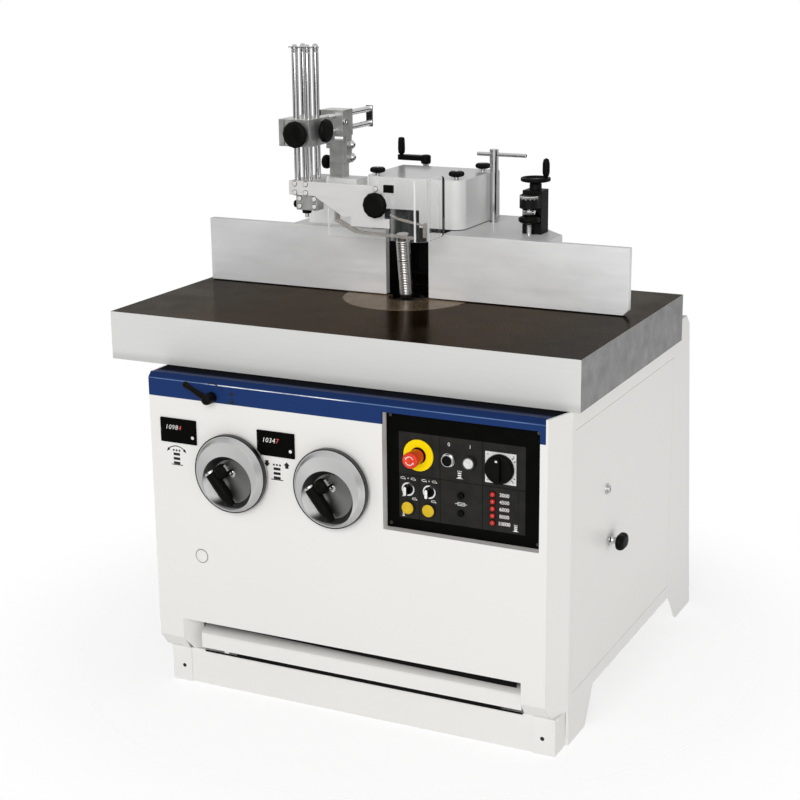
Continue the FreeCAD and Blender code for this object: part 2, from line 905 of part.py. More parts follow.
def handle_frame(shape):
    """Moves a shape drawn with the handle along +X to its folded place on a wheel."""
    folded = shape.copy()
    folded.rotate(ORIGIN, UP, handle_heading)
    folded.translate(FreeCAD.Vector(handle_axis_x, handle_axis_z, 0))
    return folded


def make_handwheel(number):
    shaft_end = -wheel_shaft_tail
    outline = [(0, shaft_end), (wheel_shaft_radius, shaft_end), (wheel_shaft_radius, face_gap),
               (wheel_hub_radius, face_gap), (wheel_hub_radius, wheel_back), (wheel_radius, wheel_back),
               (wheel_radius, wheel_rim_height), (wheel_face_radius, wheel_rim_height),
               (wheel_crown_radius, wheel_face_height), (0, wheel_face_height)]
    depth = wheel_face_height - bowl_floor_height
    bowl_base = FreeCAD.Vector(0, -bowl_drop, bowl_floor_height)
    bowl = Part.makeCone(bowl_floor_radius, bowl_radius, depth, bowl_base)
    wheel = turned(outline).cut(bowl)
    ears = []
    for start in (ear_far_start, -ear_start - ear_width):
        ear = block((-ear_half, ear_half), (start, start + ear_width),
                    (bowl_floor_height, handle_axis_height + ear_top))
        ears.append(handle_frame(ear))
    wheel = join([wheel] + ears)
    pin_start = -ear_start - 2 * ear_width
    pin = rod((0, pin_start, handle_axis_height), BACK, handle_pin_radius + running_gap,
              ear_far_start + 2 * ear_width - pin_start)
    wheel = wheel.cut(handle_frame(pin))
    return facing_front(wheel, wheel_x + number * wheel_pitch, front_y, wheel_z)


def make_handle(number):
    height = handle_axis_height
    eye = rod((0, -handle_eye_half, height), BACK, handle_eye_radius, 2 * handle_eye_half)
    hub = rod((0, handle_hub_start, height), BACK, handle_hub_radius, handle_hub_end - handle_hub_start)
    pin_start = -ear_start - ear_width
    pin = rod((0, pin_start, height), BACK, handle_pin_radius, ear_far_start + ear_width - pin_start)
    grip = rod((handle_grip_start, 0, height), RIGHT, handle_grip_radius, handle_length - handle_grip_start)
    handle = handle_frame(join([eye, hub, pin, grip]))
    return facing_front(handle, wheel_x + number * wheel_pitch, front_y, wheel_z)


def make_lock_lever():
    hub = turned([(0, -sheet), (lever_stud_radius, -sheet), (lever_stud_radius, face_gap),
                  (lever_hub_radius, face_gap), (lever_hub_radius, lever_hub_height), (0, lever_hub_height)])
    arm = flat_slab([(0, -lever_root_half), (lever_length, -lever_tip_half), (lever_length, lever_tip_half),
                     (0, lever_root_half)], lever_neck_height, lever_arm_thickness)
    arm.rotate(ORIGIN, UP, lever_heading)
    return facing_front(join([hub, arm]), lever_x, front_y, lever_z)


def make_trunnion_guides():
    guides = []
    for side in (-1, 1):
        start = spindle_x + side * guide_spacing - guide_width / 2
        arc = arc_sector(guide_inner_radius, guide_outer_radius, guide_sweep, start, guide_width)
        arc.translate(FreeCAD.Vector(0, spindle_y, table_height))
        feet = []
        middle = (guide_inner_radius + guide_outer_radius) / 2
        reach = middle * math.sin(math.radians(guide_sweep))
        drop = middle * math.cos(math.radians(guide_sweep))
        for way in (-reach, reach):
            y_start = spindle_y + way - guide_foot_length / 2
            feet.append(block((start, start + guide_width), (y_start, y_start + guide_foot_length),
                              (table_height - drop, table_under)))
        guides.append(join([arc] + feet))
    return Part.makeCompound(guides)


def make_tilt_carriage():
    shoes = []
    reach = guide_spacing + guide_width / 2
    for side in (-reach, 0):
        shoes.append(arc_sector(guide_inner_radius - shoe_depth, guide_inner_radius - face_gap,
                                shoe_sweep, side, reach))
        shoes.append(arc_sector(guide_outer_radius + face_gap, guide_outer_radius + shoe_depth,
                                shoe_sweep, side, reach))
    sleeve = rod((0, 0, -sleeve_bottom), UP, sleeve_radius, sleeve_bottom - sleeve_top)
    carriage = join([sleeve] + shoes)
    bore = rod((0, 0, -sleeve_bottom - shoe_depth), UP, quill_radius + running_gap, sleeve_bottom)
    return tilted(carriage.cut(bore))


def make_quill_slide():
    barrel = rod((0, 0, -quill_bottom), UP, quill_radius, quill_bottom - quill_top)
    arm = block((0, motor_spacing + bracket_half), (-bracket_half, bracket_half),
                (-quill_bottom, -quill_bottom + bracket_thickness))
    quill = join([barrel, arm])
    bore = rod((0, 0, -quill_bottom), UP, spindle_radius + running_gap, quill_bottom - quill_top)
    seat = rod((motor_spacing, 0, -quill_bottom), UP, motor_seat_radius, bracket_thickness)
    return tilted(quill.cut([bore, seat]))


def motor_base():
    return -quill_bottom + bracket_thickness


def make_motor():
    base = motor_base()
    case = rod((motor_spacing, 0, base), UP, motor_radius, motor_length)
    bore = rod((motor_spacing, 0, base + motor_wall), UP, motor_bore_radius, motor_length - 2 * motor_wall)
    neck = rod((motor_spacing, 0, base), UP, rotor_shaft_radius + running_gap, motor_wall)
    return tilted(case.cut([bore, neck]))


def make_motor_rotor():
    base = motor_base()
    core_start = base + (motor_length - rotor_length) / 2
    pulley_bottom = -pulley_top - pulley_width
    parts = [rod((motor_spacing, 0, core_start), UP, rotor_radius, rotor_length),
             rod((motor_spacing, 0, pulley_bottom), UP, rotor_shaft_radius, core_start - pulley_bottom),
             rod((motor_spacing, 0, pulley_bottom), UP, motor_pulley_radius, pulley_width)]
    return tilted(join(parts))


def belt_outline(spread):
    """Flat belt loop: both pulley circles and the straight sides between them."""
    small = spindle_pulley_radius + face_gap + spread
    large = motor_pulley_radius + face_gap + spread
    lean = math.asin((large - small) / motor_spacing)
    height = pulley_width - 2 * belt_inset
    base = -pulley_top - pulley_width + belt_inset
    sides = [(-small * math.sin(lean), small * math.cos(lean)),
             (motor_spacing - large * math.sin(lean), large * math.cos(lean)),
             (motor_spacing - large * math.sin(lean), -large * math.cos(lean)),
             (-small * math.sin(lean), -small * math.cos(lean))]
    return join([flat_slab(sides, base, height), rod((0, 0, base), UP, small, height),
                 rod((motor_spacing, 0, base), UP, large, height)])


def make_drive_belt():
    return tilted(belt_outline(belt_thickness).cut(belt_outline(0)))


def make_spindle_shaft():
    pulley_bottom = -pulley_top - pulley_width
    rings_top = ring_base + sum(ring_heights)
    outline = [(0, -spindle_bottom), (spindle_radius, -spindle_bottom), (spindle_radius, pulley_bottom),
               (spindle_pulley_radius, pulley_bottom), (spindle_pulley_radius, -pulley_top),
               (spindle_radius, -pulley_top), (spindle_radius, -nose_start),
               (ring_outer_radius, -nose_start), (ring_outer_radius, ring_base), (nose_radius, ring_base),
               (nose_radius, rings_top), (nut_radius, rings_top), (nut_radius, rings_top + nut_height),
               (0, rings_top + nut_height)]
    return tilted(turned(outline))


def make_spacer_rings():
    rings = []
    base = ring_base
    for height in ring_heights:
        ring = rod((0, 0, base), UP, ring_outer_radius, height)
        rings.append(tilted(ring.cut(rod((0, 0, base), UP, nose_radius + running_gap, height))))
        base += height
    return Part.makeCompound(rings)


def make_hood_base():
    left_front = fence_back_y
    shoulder = hood_side_y + hood_shoulder_run
    outline = [(hood_left_x, left_front), (hood_right_x, left_front), (hood_right_x, hood_side_y),
               (hood_right_x - hood_shoulder_run, shoulder), (hood_back_right_x, hood_back_y),
               (hood_back_left_x, hood_back_y), (hood_left_x + hood_shoulder_run, shoulder),
               (hood_left_x, hood_side_y)]
    body = flat_slab(outline, table_height, hood_height)
    lug = block((hood_lug_left_x, hood_lug_right_x), (hood_back_y - crank_arm_width, hood_lug_y),
                (table_height, table_height + hood_height))
    chamber = block((chamber_left_x, chamber_right_x), (left_front, chamber_back_y),
                    (table_height, table_height + hood_height))
    notch = block((chamber_right_x, hood_right_x), (left_front, left_front + carrier_thickness),
                  (table_height, table_height + hood_height))
    top = table_height + hood_height
    clamp_hole = rod((clamp_x, clamp_y, top), DOWN, clamp_root_radius + running_gap, clamp_root_length)
    crank_hole = rod((crank_x, crank_y, top), DOWN, crank_shaft_radius + running_gap, crank_shaft_root)
    casting = join([body, lug]).cut([chamber, notch, clamp_hole, crank_hole])
    sill = block((chamber_left_x, chamber_right_x), (half_depth - chamber_sill_lap, chamber_back_y),
                 (table_height, table_height + chamber_sill_thickness))
    return join([casting, sill])


def cover_form(inset):
    """The rounded form of the hood cover, drawn smaller by an inset on every side but the bottom."""
    base = table_height + hood_height
    top = table_height + cover_top_height - inset
    back_y = cover_back_y - inset
    form = block((cover_left_x + inset, cover_right_x - inset), (cover_front_y + inset, back_y), (base, top))
    upright = rounded(form, cover_corner_radius - inset, lambda edge: along(edge, UP))
    middle = FreeCAD.Vector((cover_left_x + cover_right_x) / 2, back_y, top)
    arched = rounded(form, cover_back_radius - inset, lambda edge: edge.CenterOfMass.isEqual(middle, running_gap))
    return upright.common(arched)


def make_hood_cover():
    base = table_height + hood_height
    spout_start = cover_back_y - cover_corner_radius
    spout_run = cover_corner_radius + spout_length
    spout_z = table_height + spout_height
    neck = rod((spout_x, spout_start, spout_z), BACK, spout_radius - spout_step, spout_run)
    sleeve = rod((spout_x, cover_back_y + spout_neck, spout_z), BACK, spout_radius, spout_length - spout_neck)
    throat = rod((spout_x, spout_start, spout_z), BACK, spout_radius - cover_wall, spout_run)
    mouth = block((mouth_left_x, mouth_right_x), (cover_front_y, cover_front_y + cover_wall),
                  (base, base + mouth_height))
    return join([cover_form(0), neck, sleeve]).cut([cover_form(cover_wall), throat, mouth])


def make_hood_knobs():
    knobs = []
    for x, y in cover_knob_places:
        knob = lobed_knob(knob_radius, knob_height, knob_stem_radius, knob_stem_length)
        knob.translate(FreeCAD.Vector(x, y, table_height + cover_top_height))
        knobs.append(knob)
    return Part.makeCompound(knobs)


def make_clamp_screw():
    base = table_height + hood_height
    column = rod((clamp_x, clamp_y, base), UP, clamp_radius, clamp_top_height - hood_height)
    root = rod((clamp_x, clamp_y, base), DOWN, clamp_root_radius, clamp_root_length)
    hole = rod((clamp_x - clamp_radius, clamp_y, table_height + tommy_height), RIGHT,
               tommy_radius + running_gap, 2 * clamp_radius)
    return join([column, root]).cut(hole)


def make_tommy_bar():
    return rod((clamp_x - tommy_left, clamp_y, table_height + tommy_height), RIGHT, tommy_radius,
               tommy_left + tommy_right)


def make_hood_crank():
    base = table_height + hood_height
    arm_base = table_height + cover_top_height + crank_clear
    root = base - crank_shaft_root
    shaft = rod((crank_x, crank_y, root), UP, crank_shaft_radius, arm_base - root)
    hub = rod((crank_x, crank_y, arm_base), UP, crank_hub_radius, crank_arm_thickness)
    arm = block((crank_x - crank_arm_length, crank_x),
                (crank_y - crank_arm_width / 2, crank_y + crank_arm_width / 2),
                (arm_base, arm_base + crank_arm_thickness))
    grip = rod((crank_x - crank_arm_length, crank_y, arm_base), UP, crank_grip_radius,
               crank_arm_thickness + crank_grip_length)
    return join([shaft, hub, arm, grip])


def make_fence(start, end, chamfered):
    base = table_height + fence_float
    top = table_height + fence_height
    outline = [(start, base), (end, base), (end, top), (start, top)]
    if chamfered:
        outline = [(start, base), (end - fence_chamfer, base), (end, base + fence_chamfer), (end, top),
                   (start, top)]
    return front_slab(outline, fence_front_y, fence_thickness)


def make_infeed_carrier():
    base = table_height + carrier_bottom
    return block((chamber_right_x, hood_right_x - carrier_inset),
                 (fence_back_y, fence_back_y + carrier_thickness), (base, base + carrier_height))


def adjuster_axis():
    return adjuster_left_x + adjuster_width / 2, adjuster_front_y + adjuster_depth / 2


def make_adjuster_bracket():
    x, y = adjuster_axis()
    base = table_height + hood_height
    top = table_height + adjuster_top_height
    column = block((adjuster_left_x, adjuster_left_x + adjuster_width),
                   (adjuster_front_y, adjuster_front_y + adjuster_depth), (base, top))
    neck = rod((x, y, top), UP, adjuster_neck_radius, adjuster_neck_height)
    arm_base = table_height + adjuster_arm_height
    arm = block((x - adjuster_arm_radius, x + adjuster_arm_radius),
                (adjuster_front_y - adjuster_arm_reach, adjuster_front_y),
                (arm_base, arm_base + adjuster_arm_thickness))
    nose = rod((x, adjuster_front_y - adjuster_arm_reach, arm_base), UP, adjuster_arm_radius,
               adjuster_arm_thickness)
    nose = nose.cut(column)
    bracket = join([column, neck, arm, nose])
    drop = adjuster_arm_thickness + adjuster_neck_height
    hole = rod((x, y, top + adjuster_neck_height), DOWN, dial_stem_radius + running_gap, drop)
    screw_hole = rod((x, lock_axis_y(), arm_base), UP, lock_screw_radius + running_gap,
                     adjuster_arm_thickness / 2)
    return bracket.cut([hole, screw_hole, lock_clearance()])


def lock_axis_y():
    return adjuster_front_y - adjuster_arm_reach


def lock_clearance():
    """Room in the column for the lock knob to turn."""
    x, y = adjuster_axis()
    return rod((x, lock_axis_y(), table_height + lock_knob_base - face_gap), UP, lock_knob_radius + face_gap,
               lock_knob_height + 2 * face_gap)


def make_adjuster_lock():
    x, y = adjuster_axis()
    base = table_height + hood_height
    knob_base = table_height + lock_knob_base
    arm_base = table_height + adjuster_arm_height
    knob = lobed_knob(lock_knob_radius, lock_knob_height, lock_collar_radius, 0.5 * lock_screw_radius)
    knob.translate(FreeCAD.Vector(x, lock_axis_y(), knob_base - 0.5 * lock_screw_radius))
    screw = rod((x, lock_axis_y(), base), UP, lock_screw_radius,
                adjuster_arm_height - hood_height + adjuster_arm_thickness / 2)
    return join([knob, screw])


def make_adjuster_wheel():
    x, y = adjuster_axis()
    root = -adjuster_arm_thickness
    top = dial_height
    outline = [(0, root), (dial_stem_radius, root), (dial_stem_radius, 0), (adjuster_neck_radius, 0),
               (adjuster_neck_radius, dial_dish_depth), (dial_radius, dial_dish_depth), (dial_radius, top),
               (dial_radius * dial_dish_share, top), (dial_radius * dial_dish_share, top - dial_dish_depth),
               (0, top - dial_dish_depth)]
    grip_run = top - dial_dish_depth + dial_grip_length
    grip = rod((dial_grip_reach, 0, dial_dish_depth), UP, dial_grip_radius, grip_run)
    wheel = join([turned(outline), grip])
    wheel.translate(FreeCAD.Vector(x, y, table_height + adjuster_top_height + adjuster_neck_height))
    return wheel


def make_guard_post():
    base = table_height + hood_height
    stand = block((stand_left_x, stand_right_x), (stand_front_y, stand_front_y + stand_depth),
                  (base, table_height + stand_height))
    post = block((post_left_x, post_left_x + post_width), (post_front_y, post_front_y + post_depth),
                 (table_height + stand_height, table_height + post_top_height))
    bore = rod((post_left_x, head_axis_y(), table_height + head_pivot_height), RIGHT,
               pivot_pin_radius + running_gap, post_width)
    return join([stand, post]).cut(bore)


def head_axis_y():
    return post_front_y + post_depth / 2


def cross_heights():
    lower = table_height + cross_lower_height
    return lower, lower + cross_spacing


def make_guard_head():
    post_right = post_left_x + post_width
    body = block((post_left_x - head_side, post_right + cheek_thickness),
                 (head_front_y, head_front_y + head_depth),
                 (table_height + head_bottom_height, table_height + head_top_height))
    middle = head_axis_y()
    axis_height = table_height + head_pivot_height
    right = block((post_right, post_right + cheek_thickness), (middle - cheek_half, middle + cheek_half),
                  (table_height + cheek_bottom_height, table_height + head_bottom_height))
    left = block((post_left_x - cheek_thickness, post_left_x), (middle - cheek_half, middle + cheek_half),
                 (table_height + cheek_left_bottom_height, table_height + head_bottom_height))
    pin = rod((post_left_x, middle, axis_height), RIGHT, pivot_pin_radius, post_width)
    bolt = rod((post_right + cheek_thickness, middle, axis_height), RIGHT, pivot_head_radius, pivot_head_height)
    lower = table_height + cheek_bottom_height + cheek_half
    lock = rod((post_right + cheek_thickness, middle, lower), RIGHT, pivot_head_radius, pivot_head_height)
    head = join([body, right, left, pin, bolt, lock])
    holes = [rod((cross_x, head_front_y, z), BACK, cross_radius + running_gap, head_depth)
             for z in cross_heights()]
    return head.cut(holes)


def make_cross_rods():
    rods = [rod((cross_x, cross_front_y, z), BACK, cross_radius, cross_back_y - cross_front_y)
            for z in cross_heights()]
    low, high = cross_heights()
    plate = block((cross_x - cross_plate_half, cross_x + cross_plate_half),
                  (cross_back_y, cross_back_y + cross_plate_thickness),
                  (low - cross_plate_half, high + cross_plate_half))
    return join(rods + [plate])


def column_places():
    return [(column_left_x + i * column_pitch_x, column_front_y + j * column_pitch_y)
            for i in range(2) for j in range(2)]


def make_clamp_block():
    base = table_height + block_bottom_height
    body = block((block_left_x, block_right_x), (block_front_y, block_back_y), (base, base + block_height))
    cuts = [rod((x, y, base), UP, column_radius + running_gap, block_height) for x, y in column_places()]
    cuts += [rod((cross_x, cross_front_y, z), BACK, cross_radius + running_gap, block_back_y - cross_front_y)
             for z in cross_heights()]
    slit_x = block_left_x + block_slit_inset
    cuts.append(block((slit_x, slit_x + block_slit), (block_front_y, block_front_y + block_slit_depth),
                      (base, base + block_height)))
    return body.cut(cuts)


def make_column_rods():
    base = table_height + guard_top_height
    top = table_height + column_top_height
    rods = []
    for x, y in column_places():
        shaft = rod((x, y, base), UP, column_radius, top - column_cap_height - base)
        cap = rod((x, y, top - column_cap_height), UP, column_cap_radius, column_cap_height)
        rods.append(join([shaft, cap]))
    return Part.makeCompound(rods)


def make_guard_foot():
    foot = block((guard_left_x, foot_right_x), (guard_back_y, foot_back_y),
                 (table_height + tab_bottom_height, table_height + guard_top_height))
    low = block((low_block_left_x, low_block_right_x), (guard_back_y, low_block_back_y),
                (table_height + low_block_bottom_height, table_height + tab_bottom_height))
    spigot_top = table_height + low_block_bottom_height
    spigot = rod((spigot_x, spigot_y, spigot_top), DOWN, spigot_radius, spigot_length)
    return join([foot, low, spigot])


def make_guard_plate():
    outline = [(guard_left_x, tab_bottom_height), (tab_end_x, tab_bottom_height),
               (slant_end_x, slant_end_height), (strip_left_x, strip_top_height),
               (strip_left_x, strip_bottom_height), (strip_right_x, strip_bottom_height),
               (strip_right_x, strip_top_height), (guard_right_x, strip_top_height),
               (guard_right_x, guard_top_height), (guard_left_x, guard_top_height)]
    raised = [(x, table_height + z) for x, z in outline]
    return front_slab(raised, guard_front_y, guard_plate_thickness)


def make_guard_shield():
    bottom = table_height + shield_bottom_height
    height = shield_top_height - shield_bottom_height
    outer = block((shield_left_x, shield_right_x), (guard_back_y, shield_back_y), (bottom, bottom + height))
    outer = rounded(outer, shield_bend, lambda edge: along(edge, UP) and edge.CenterOfMass.x > 0
                    and edge.CenterOfMass.y < 0)
    start = shield_left_x - shield_bend
    inner = block((start, shield_right_x - shield_thickness),
                  (guard_back_y + shield_thickness, shield_back_y + shield_bend), (bottom, bottom + height))
    inner = rounded(inner, shield_bend - shield_thickness, lambda edge: along(edge, UP)
                    and edge.CenterOfMass.x > 0 and edge.CenterOfMass.y < 0)
    sheet_shape = outer.cut(inner)
    return rounded(sheet_shape, shield_corner, lambda edge: along(edge, RIGHT)
                   and edge.CenterOfMass.y > shield_back_y - shield_thickness)


def make_pressure_shoe():
    t = shoe_thickness
    outline = [(shoe_left_x, shoe_top_height), (shoe_left_x, shoe_drop_height), (shoe_bend_x, shoe_bend_height),
               (shoe_right_x, shoe_end_height), (shoe_right_x, shoe_end_height + t),
               (shoe_bend_x + t, shoe_bend_height + t), (shoe_left_x + t, shoe_drop_height + t),
               (shoe_left_x + t, shoe_top_height)]
    raised = [(x, table_height + z) for x, z in outline]
    return front_slab(raised, guard_back_y + shield_thickness, shoe_width)


def make_grip_knob(radius):
    return round_knob(radius, grip_knob_height, grip_stem_radius, grip_stem_length)


def make_nodes():
    return {
        "base_frame": make_base_frame(),
        "front_panel": make_front_panel(),
        "top_band": make_top_band(),
        "left_panel": make_left_panel(),
        "right_panel": make_right_panel(),
        "rear_panel": make_rear_panel(),
        "table": make_table(),
        "table_insert": make_table_insert(),
        "trunnion_guides": make_trunnion_guides(),
        "control_bezel": make_control_bezel(),
        "control_plate": make_control_plate(),
        "fuse_caps": make_fuse_caps(),
        "position_counters": make_counters(),
        "side_door": make_side_door(),
        "door_knob": make_door_knob(),
        "tilt_carriage": make_tilt_carriage(),
        "quill_slide": make_quill_slide(),
        "motor": make_motor(),
        "motor_rotor": make_motor_rotor(),
        "drive_belt": make_drive_belt(),
        "spindle_shaft": make_spindle_shaft(),
        "spacer_rings": make_spacer_rings(),
        "tilt_handwheel": make_handwheel(0),
        "tilt_handle": make_handle(0),
        "height_handwheel": make_handwheel(1),
        "height_handle": make_handle(1),
        "lock_lever": make_lock_lever(),
        "estop_button": make_estop(),
        "stop_button": make_push_button(stop_place_shares),
        "start_button": make_push_button(start_place_shares),
        "left_selector": make_selector(left_selector_place_shares),
        "right_selector": make_selector(right_selector_place_shares),
        "left_jog_button": make_push_button(left_jog_place_shares),
        "right_jog_button": make_push_button(right_jog_place_shares),
        "main_switch": make_main_switch(),
        "hood_base": make_hood_base(),
        "hood_cover": make_hood_cover(),
        "hood_knobs": make_hood_knobs(),
        "clamp_screw": make_clamp_screw(),
        "tommy_bar": make_tommy_bar(),
        "hood_crank": make_hood_crank(),
        "left_fence": make_fence(left_fence_start_x, left_fence_end_x, False),
        "right_fence": make_fence(right_fence_start_x, right_fence_end_x, True),
        "infeed_carrier": make_infeed_carrier(),
        "adjuster_bracket": make_adjuster_bracket(),
        "adjuster_wheel": make_adjuster_wheel(),
        "adjuster_lock": make_adjuster_lock(),
        "guard_post": make_guard_post(),
        "guard_head": make_guard_head(),
        "cross_rods": make_cross_rods(),
        "clamp_block": make_clamp_block(),
        "column_rods": make_column_rods(),
        "guard_foot": make_guard_foot(),
        "guard_plate": make_guard_plate(),
        "guard_shield": make_guard_shield(),
        "pressure_shoe": make_pressure_shoe(),
        "block_knob": facing_front(make_grip_knob(grip_knob_radius), block_knob_x, block_front_y,
                                   table_height + block_knob_height),
        "plate_knob": facing_front(make_grip_knob(grip_knob_radius), plate_knob_x, guard_front_y,
                                   table_height + plate_knob_height),
        "side_knob": facing_right(make_grip_knob(side_knob_radius), block_right_x, side_knob_y,
                                  table_height + side_knob_height),
        "post_knob": facing_left(make_grip_knob(post_knob_radius), post_left_x, head_axis_y(),
                                 table_height + post_knob_height),
    }


def to_origin(nodes):
    """The move that puts the bottom centre of the whole machine on the origin."""
    box = FreeCAD.BoundBox()
    for shape in nodes.values():
        box.add(shape.BoundBox)
    return FreeCAD.Vector(-box.Center.x, -box.Center.y, -box.ZMin)


nodes = make_nodes()
shift = to_origin(nodes)
os.makedirs("parts", exist_ok=True)
for name, shape in nodes.items():
    shape.translate(shift)
    shape.exportStep("parts/" + name + ".step")
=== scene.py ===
import math

import bmesh
import bpy
from mathutils import Matrix, Vector


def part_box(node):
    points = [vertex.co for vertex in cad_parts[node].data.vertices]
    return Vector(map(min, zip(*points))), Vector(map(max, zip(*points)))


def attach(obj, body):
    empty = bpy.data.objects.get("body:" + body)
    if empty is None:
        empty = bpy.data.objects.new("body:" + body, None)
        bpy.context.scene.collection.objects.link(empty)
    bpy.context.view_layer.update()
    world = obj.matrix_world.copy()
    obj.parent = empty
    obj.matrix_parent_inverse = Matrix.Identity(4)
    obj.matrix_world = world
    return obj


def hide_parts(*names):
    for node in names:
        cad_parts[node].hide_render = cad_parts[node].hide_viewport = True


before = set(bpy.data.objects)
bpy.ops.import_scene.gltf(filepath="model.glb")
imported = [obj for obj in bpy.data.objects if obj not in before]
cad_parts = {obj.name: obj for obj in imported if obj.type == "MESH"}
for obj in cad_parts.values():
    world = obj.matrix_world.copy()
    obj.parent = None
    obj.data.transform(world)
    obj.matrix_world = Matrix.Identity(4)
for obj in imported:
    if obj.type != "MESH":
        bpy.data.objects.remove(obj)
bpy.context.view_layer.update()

bl_info = {
    "name": "Spindle moulder",
    "version": (1, 0, 0),
    "blender": (4, 5, 0),
    "location": "3D View > Sidebar > Moulder",
    "description": "Dresses a packed spindle moulder with its finishes and small fittings",
    "category": "Object",
}

MM = 0.001
RIGHT = Vector((1, 0, 0))
LEFT = Vector((-1, 0, 0))
FRONT = Vector((0, -1, 0))
BACK = Vector((0, 1, 0))
UP = Vector((0, 0, 1))

# Places in millimetres from the middle of the table top
FRONT_FACE = -440.0
PANEL_FACE = -417.0
BEZEL_FACE = -418.0
PRINT_GAP = 0.12
WHEEL_HEIGHT = -333.5
SPEED_LAMP_TOP = -306.0
STOP_PLACE = (243.6, -240.0)
MAINS_PLACE = (440.0, -244.0)
SELECTOR_HEIGHT = -320.5
SELECTOR_PLACES = (219.1, 270.8)
STOP_BUTTON_PLACE = (316.5, -241.0)

table_low, table_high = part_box("table")
table_middle = Vector(((table_low.x + table_high.x) / 2, (table_low.y + table_high.y) / 2, table_high.z))


def spot(x, y, z):
    """A point of the row frame from millimetres right, back and up of the table top's middle."""
    return table_middle + Vector((x, y, z)) * MM


def length(label, note, value, least):
    """A length property in metres."""
    return bpy.props.FloatProperty(name=label, description=note, default=value, min=least, unit="LENGTH")


class MoulderSizes(bpy.types.PropertyGroup):
    """Sizes of the dressed details."""
    sheet_rounding: length("Sheet rounding", "Radius on the edges of the folded sheet panels", 0.0012, 0.0001)
    casting_rounding: length("Casting rounding", "Radius on the edges of cast pieces", 0.0025, 0.0001)
    milling_pitch: length("Milling pitch", "Distance between two milling arcs of the table top", 0.0076,
                          0.001)
    milling_radius: length("Milling radius", "Radius of the milling arcs of the table top", 0.42, 0.1)
    number_height: length("Number height", "Height of the speed numbers on the control plate", 0.0080, 0.001)
    digit_height: length("Digit height", "Height of the digits in the position counters", 0.0110, 0.001)
    lamp_radius: length("Lamp radius", "Radius of a speed lamp", 0.0062, 0.001)
    lamp_pitch: length("Lamp pitch", "Distance between two speed lamps", 0.0163, 0.005)


def colour(label, note, value):
    """A colour property with its default in linear light."""
    return bpy.props.FloatVectorProperty(name=label, description=note, default=value, size=3, min=0.0,
                                         max=1.0, subtype="COLOR")


class MoulderColours(bpy.types.PropertyGroup):
    """Colours of the finishes, in linear light."""
    white_paint: colour("White paint", "Cabinet panels, plinth and door", (0.80, 0.79, 0.765))
    blue_paint: colour("Blue paint", "Band under the table", (0.0125, 0.036, 0.138))
    hood_paint: colour("Hood paint", "Base and cover of the fence hood", (0.83, 0.83, 0.825))
    table_top: colour("Table top", "Ground and oiled top of the cast table", (0.060, 0.036, 0.014))
    # Painted reflection: the top is painted in this grey near its two ends.
    table_end_reflection: colour("Table end", "Top of the table near its two ends", (0.036, 0.037, 0.039))
    table_face: colour("Table face", "Ground front of the table", (0.66, 0.66, 0.645))
    table_side: colour("Table side", "Cast side of the table", (0.265, 0.265, 0.265))
    insert: colour("Table insert", "Round insert about the spindle", (0.235, 0.165, 0.100))
    fence: colour("Fence", "Planed aluminium of the fences", (0.78, 0.78, 0.78))
    casting: colour("Casting", "Cast aluminium of the guard", (0.60, 0.60, 0.59))
    plate: colour("Guard plate", "Brushed plate of the overhead guard", (0.74, 0.725, 0.72))
    chrome: colour("Chrome", "Rods, screws and collars", (0.74, 0.74, 0.74))
    wheel: colour("Handwheel", "Silver lacquer of the handwheels", (0.53, 0.53, 0.525))
    black: colour("Black plastic", "Knobs, levers and grips", (0.0032, 0.0032, 0.0028))
    bezel: colour("Bezel", "Gloss black control frame and counters", (0.0018, 0.0019, 0.0014))
    tile: colour("Control tile", "Dark tiles of the control plate", (0.0185, 0.018, 0.0158))
    yellow: colour("Yellow", "Disc of the emergency stop", (0.98, 0.74, 0.002))
    jog: colour("Jog caps", "Yellow caps of the two jog buttons", (0.62, 0.42, 0.018))
    red: colour("Red", "Emergency stop", (0.78, 0.048, 0.018))
    print_white: colour("White print", "Numbers and signs on dark pieces", (0.78, 0.78, 0.76))
    iron: colour("Mechanism iron", "Castings under the table", (0.085, 0.085, 0.09))
    motor: colour("Motor paint", "Case of the motor", (0.055, 0.065, 0.080))


def solid(value):
    """A colour with full cover."""
    return (value[0], value[1], value[2], 1.0)


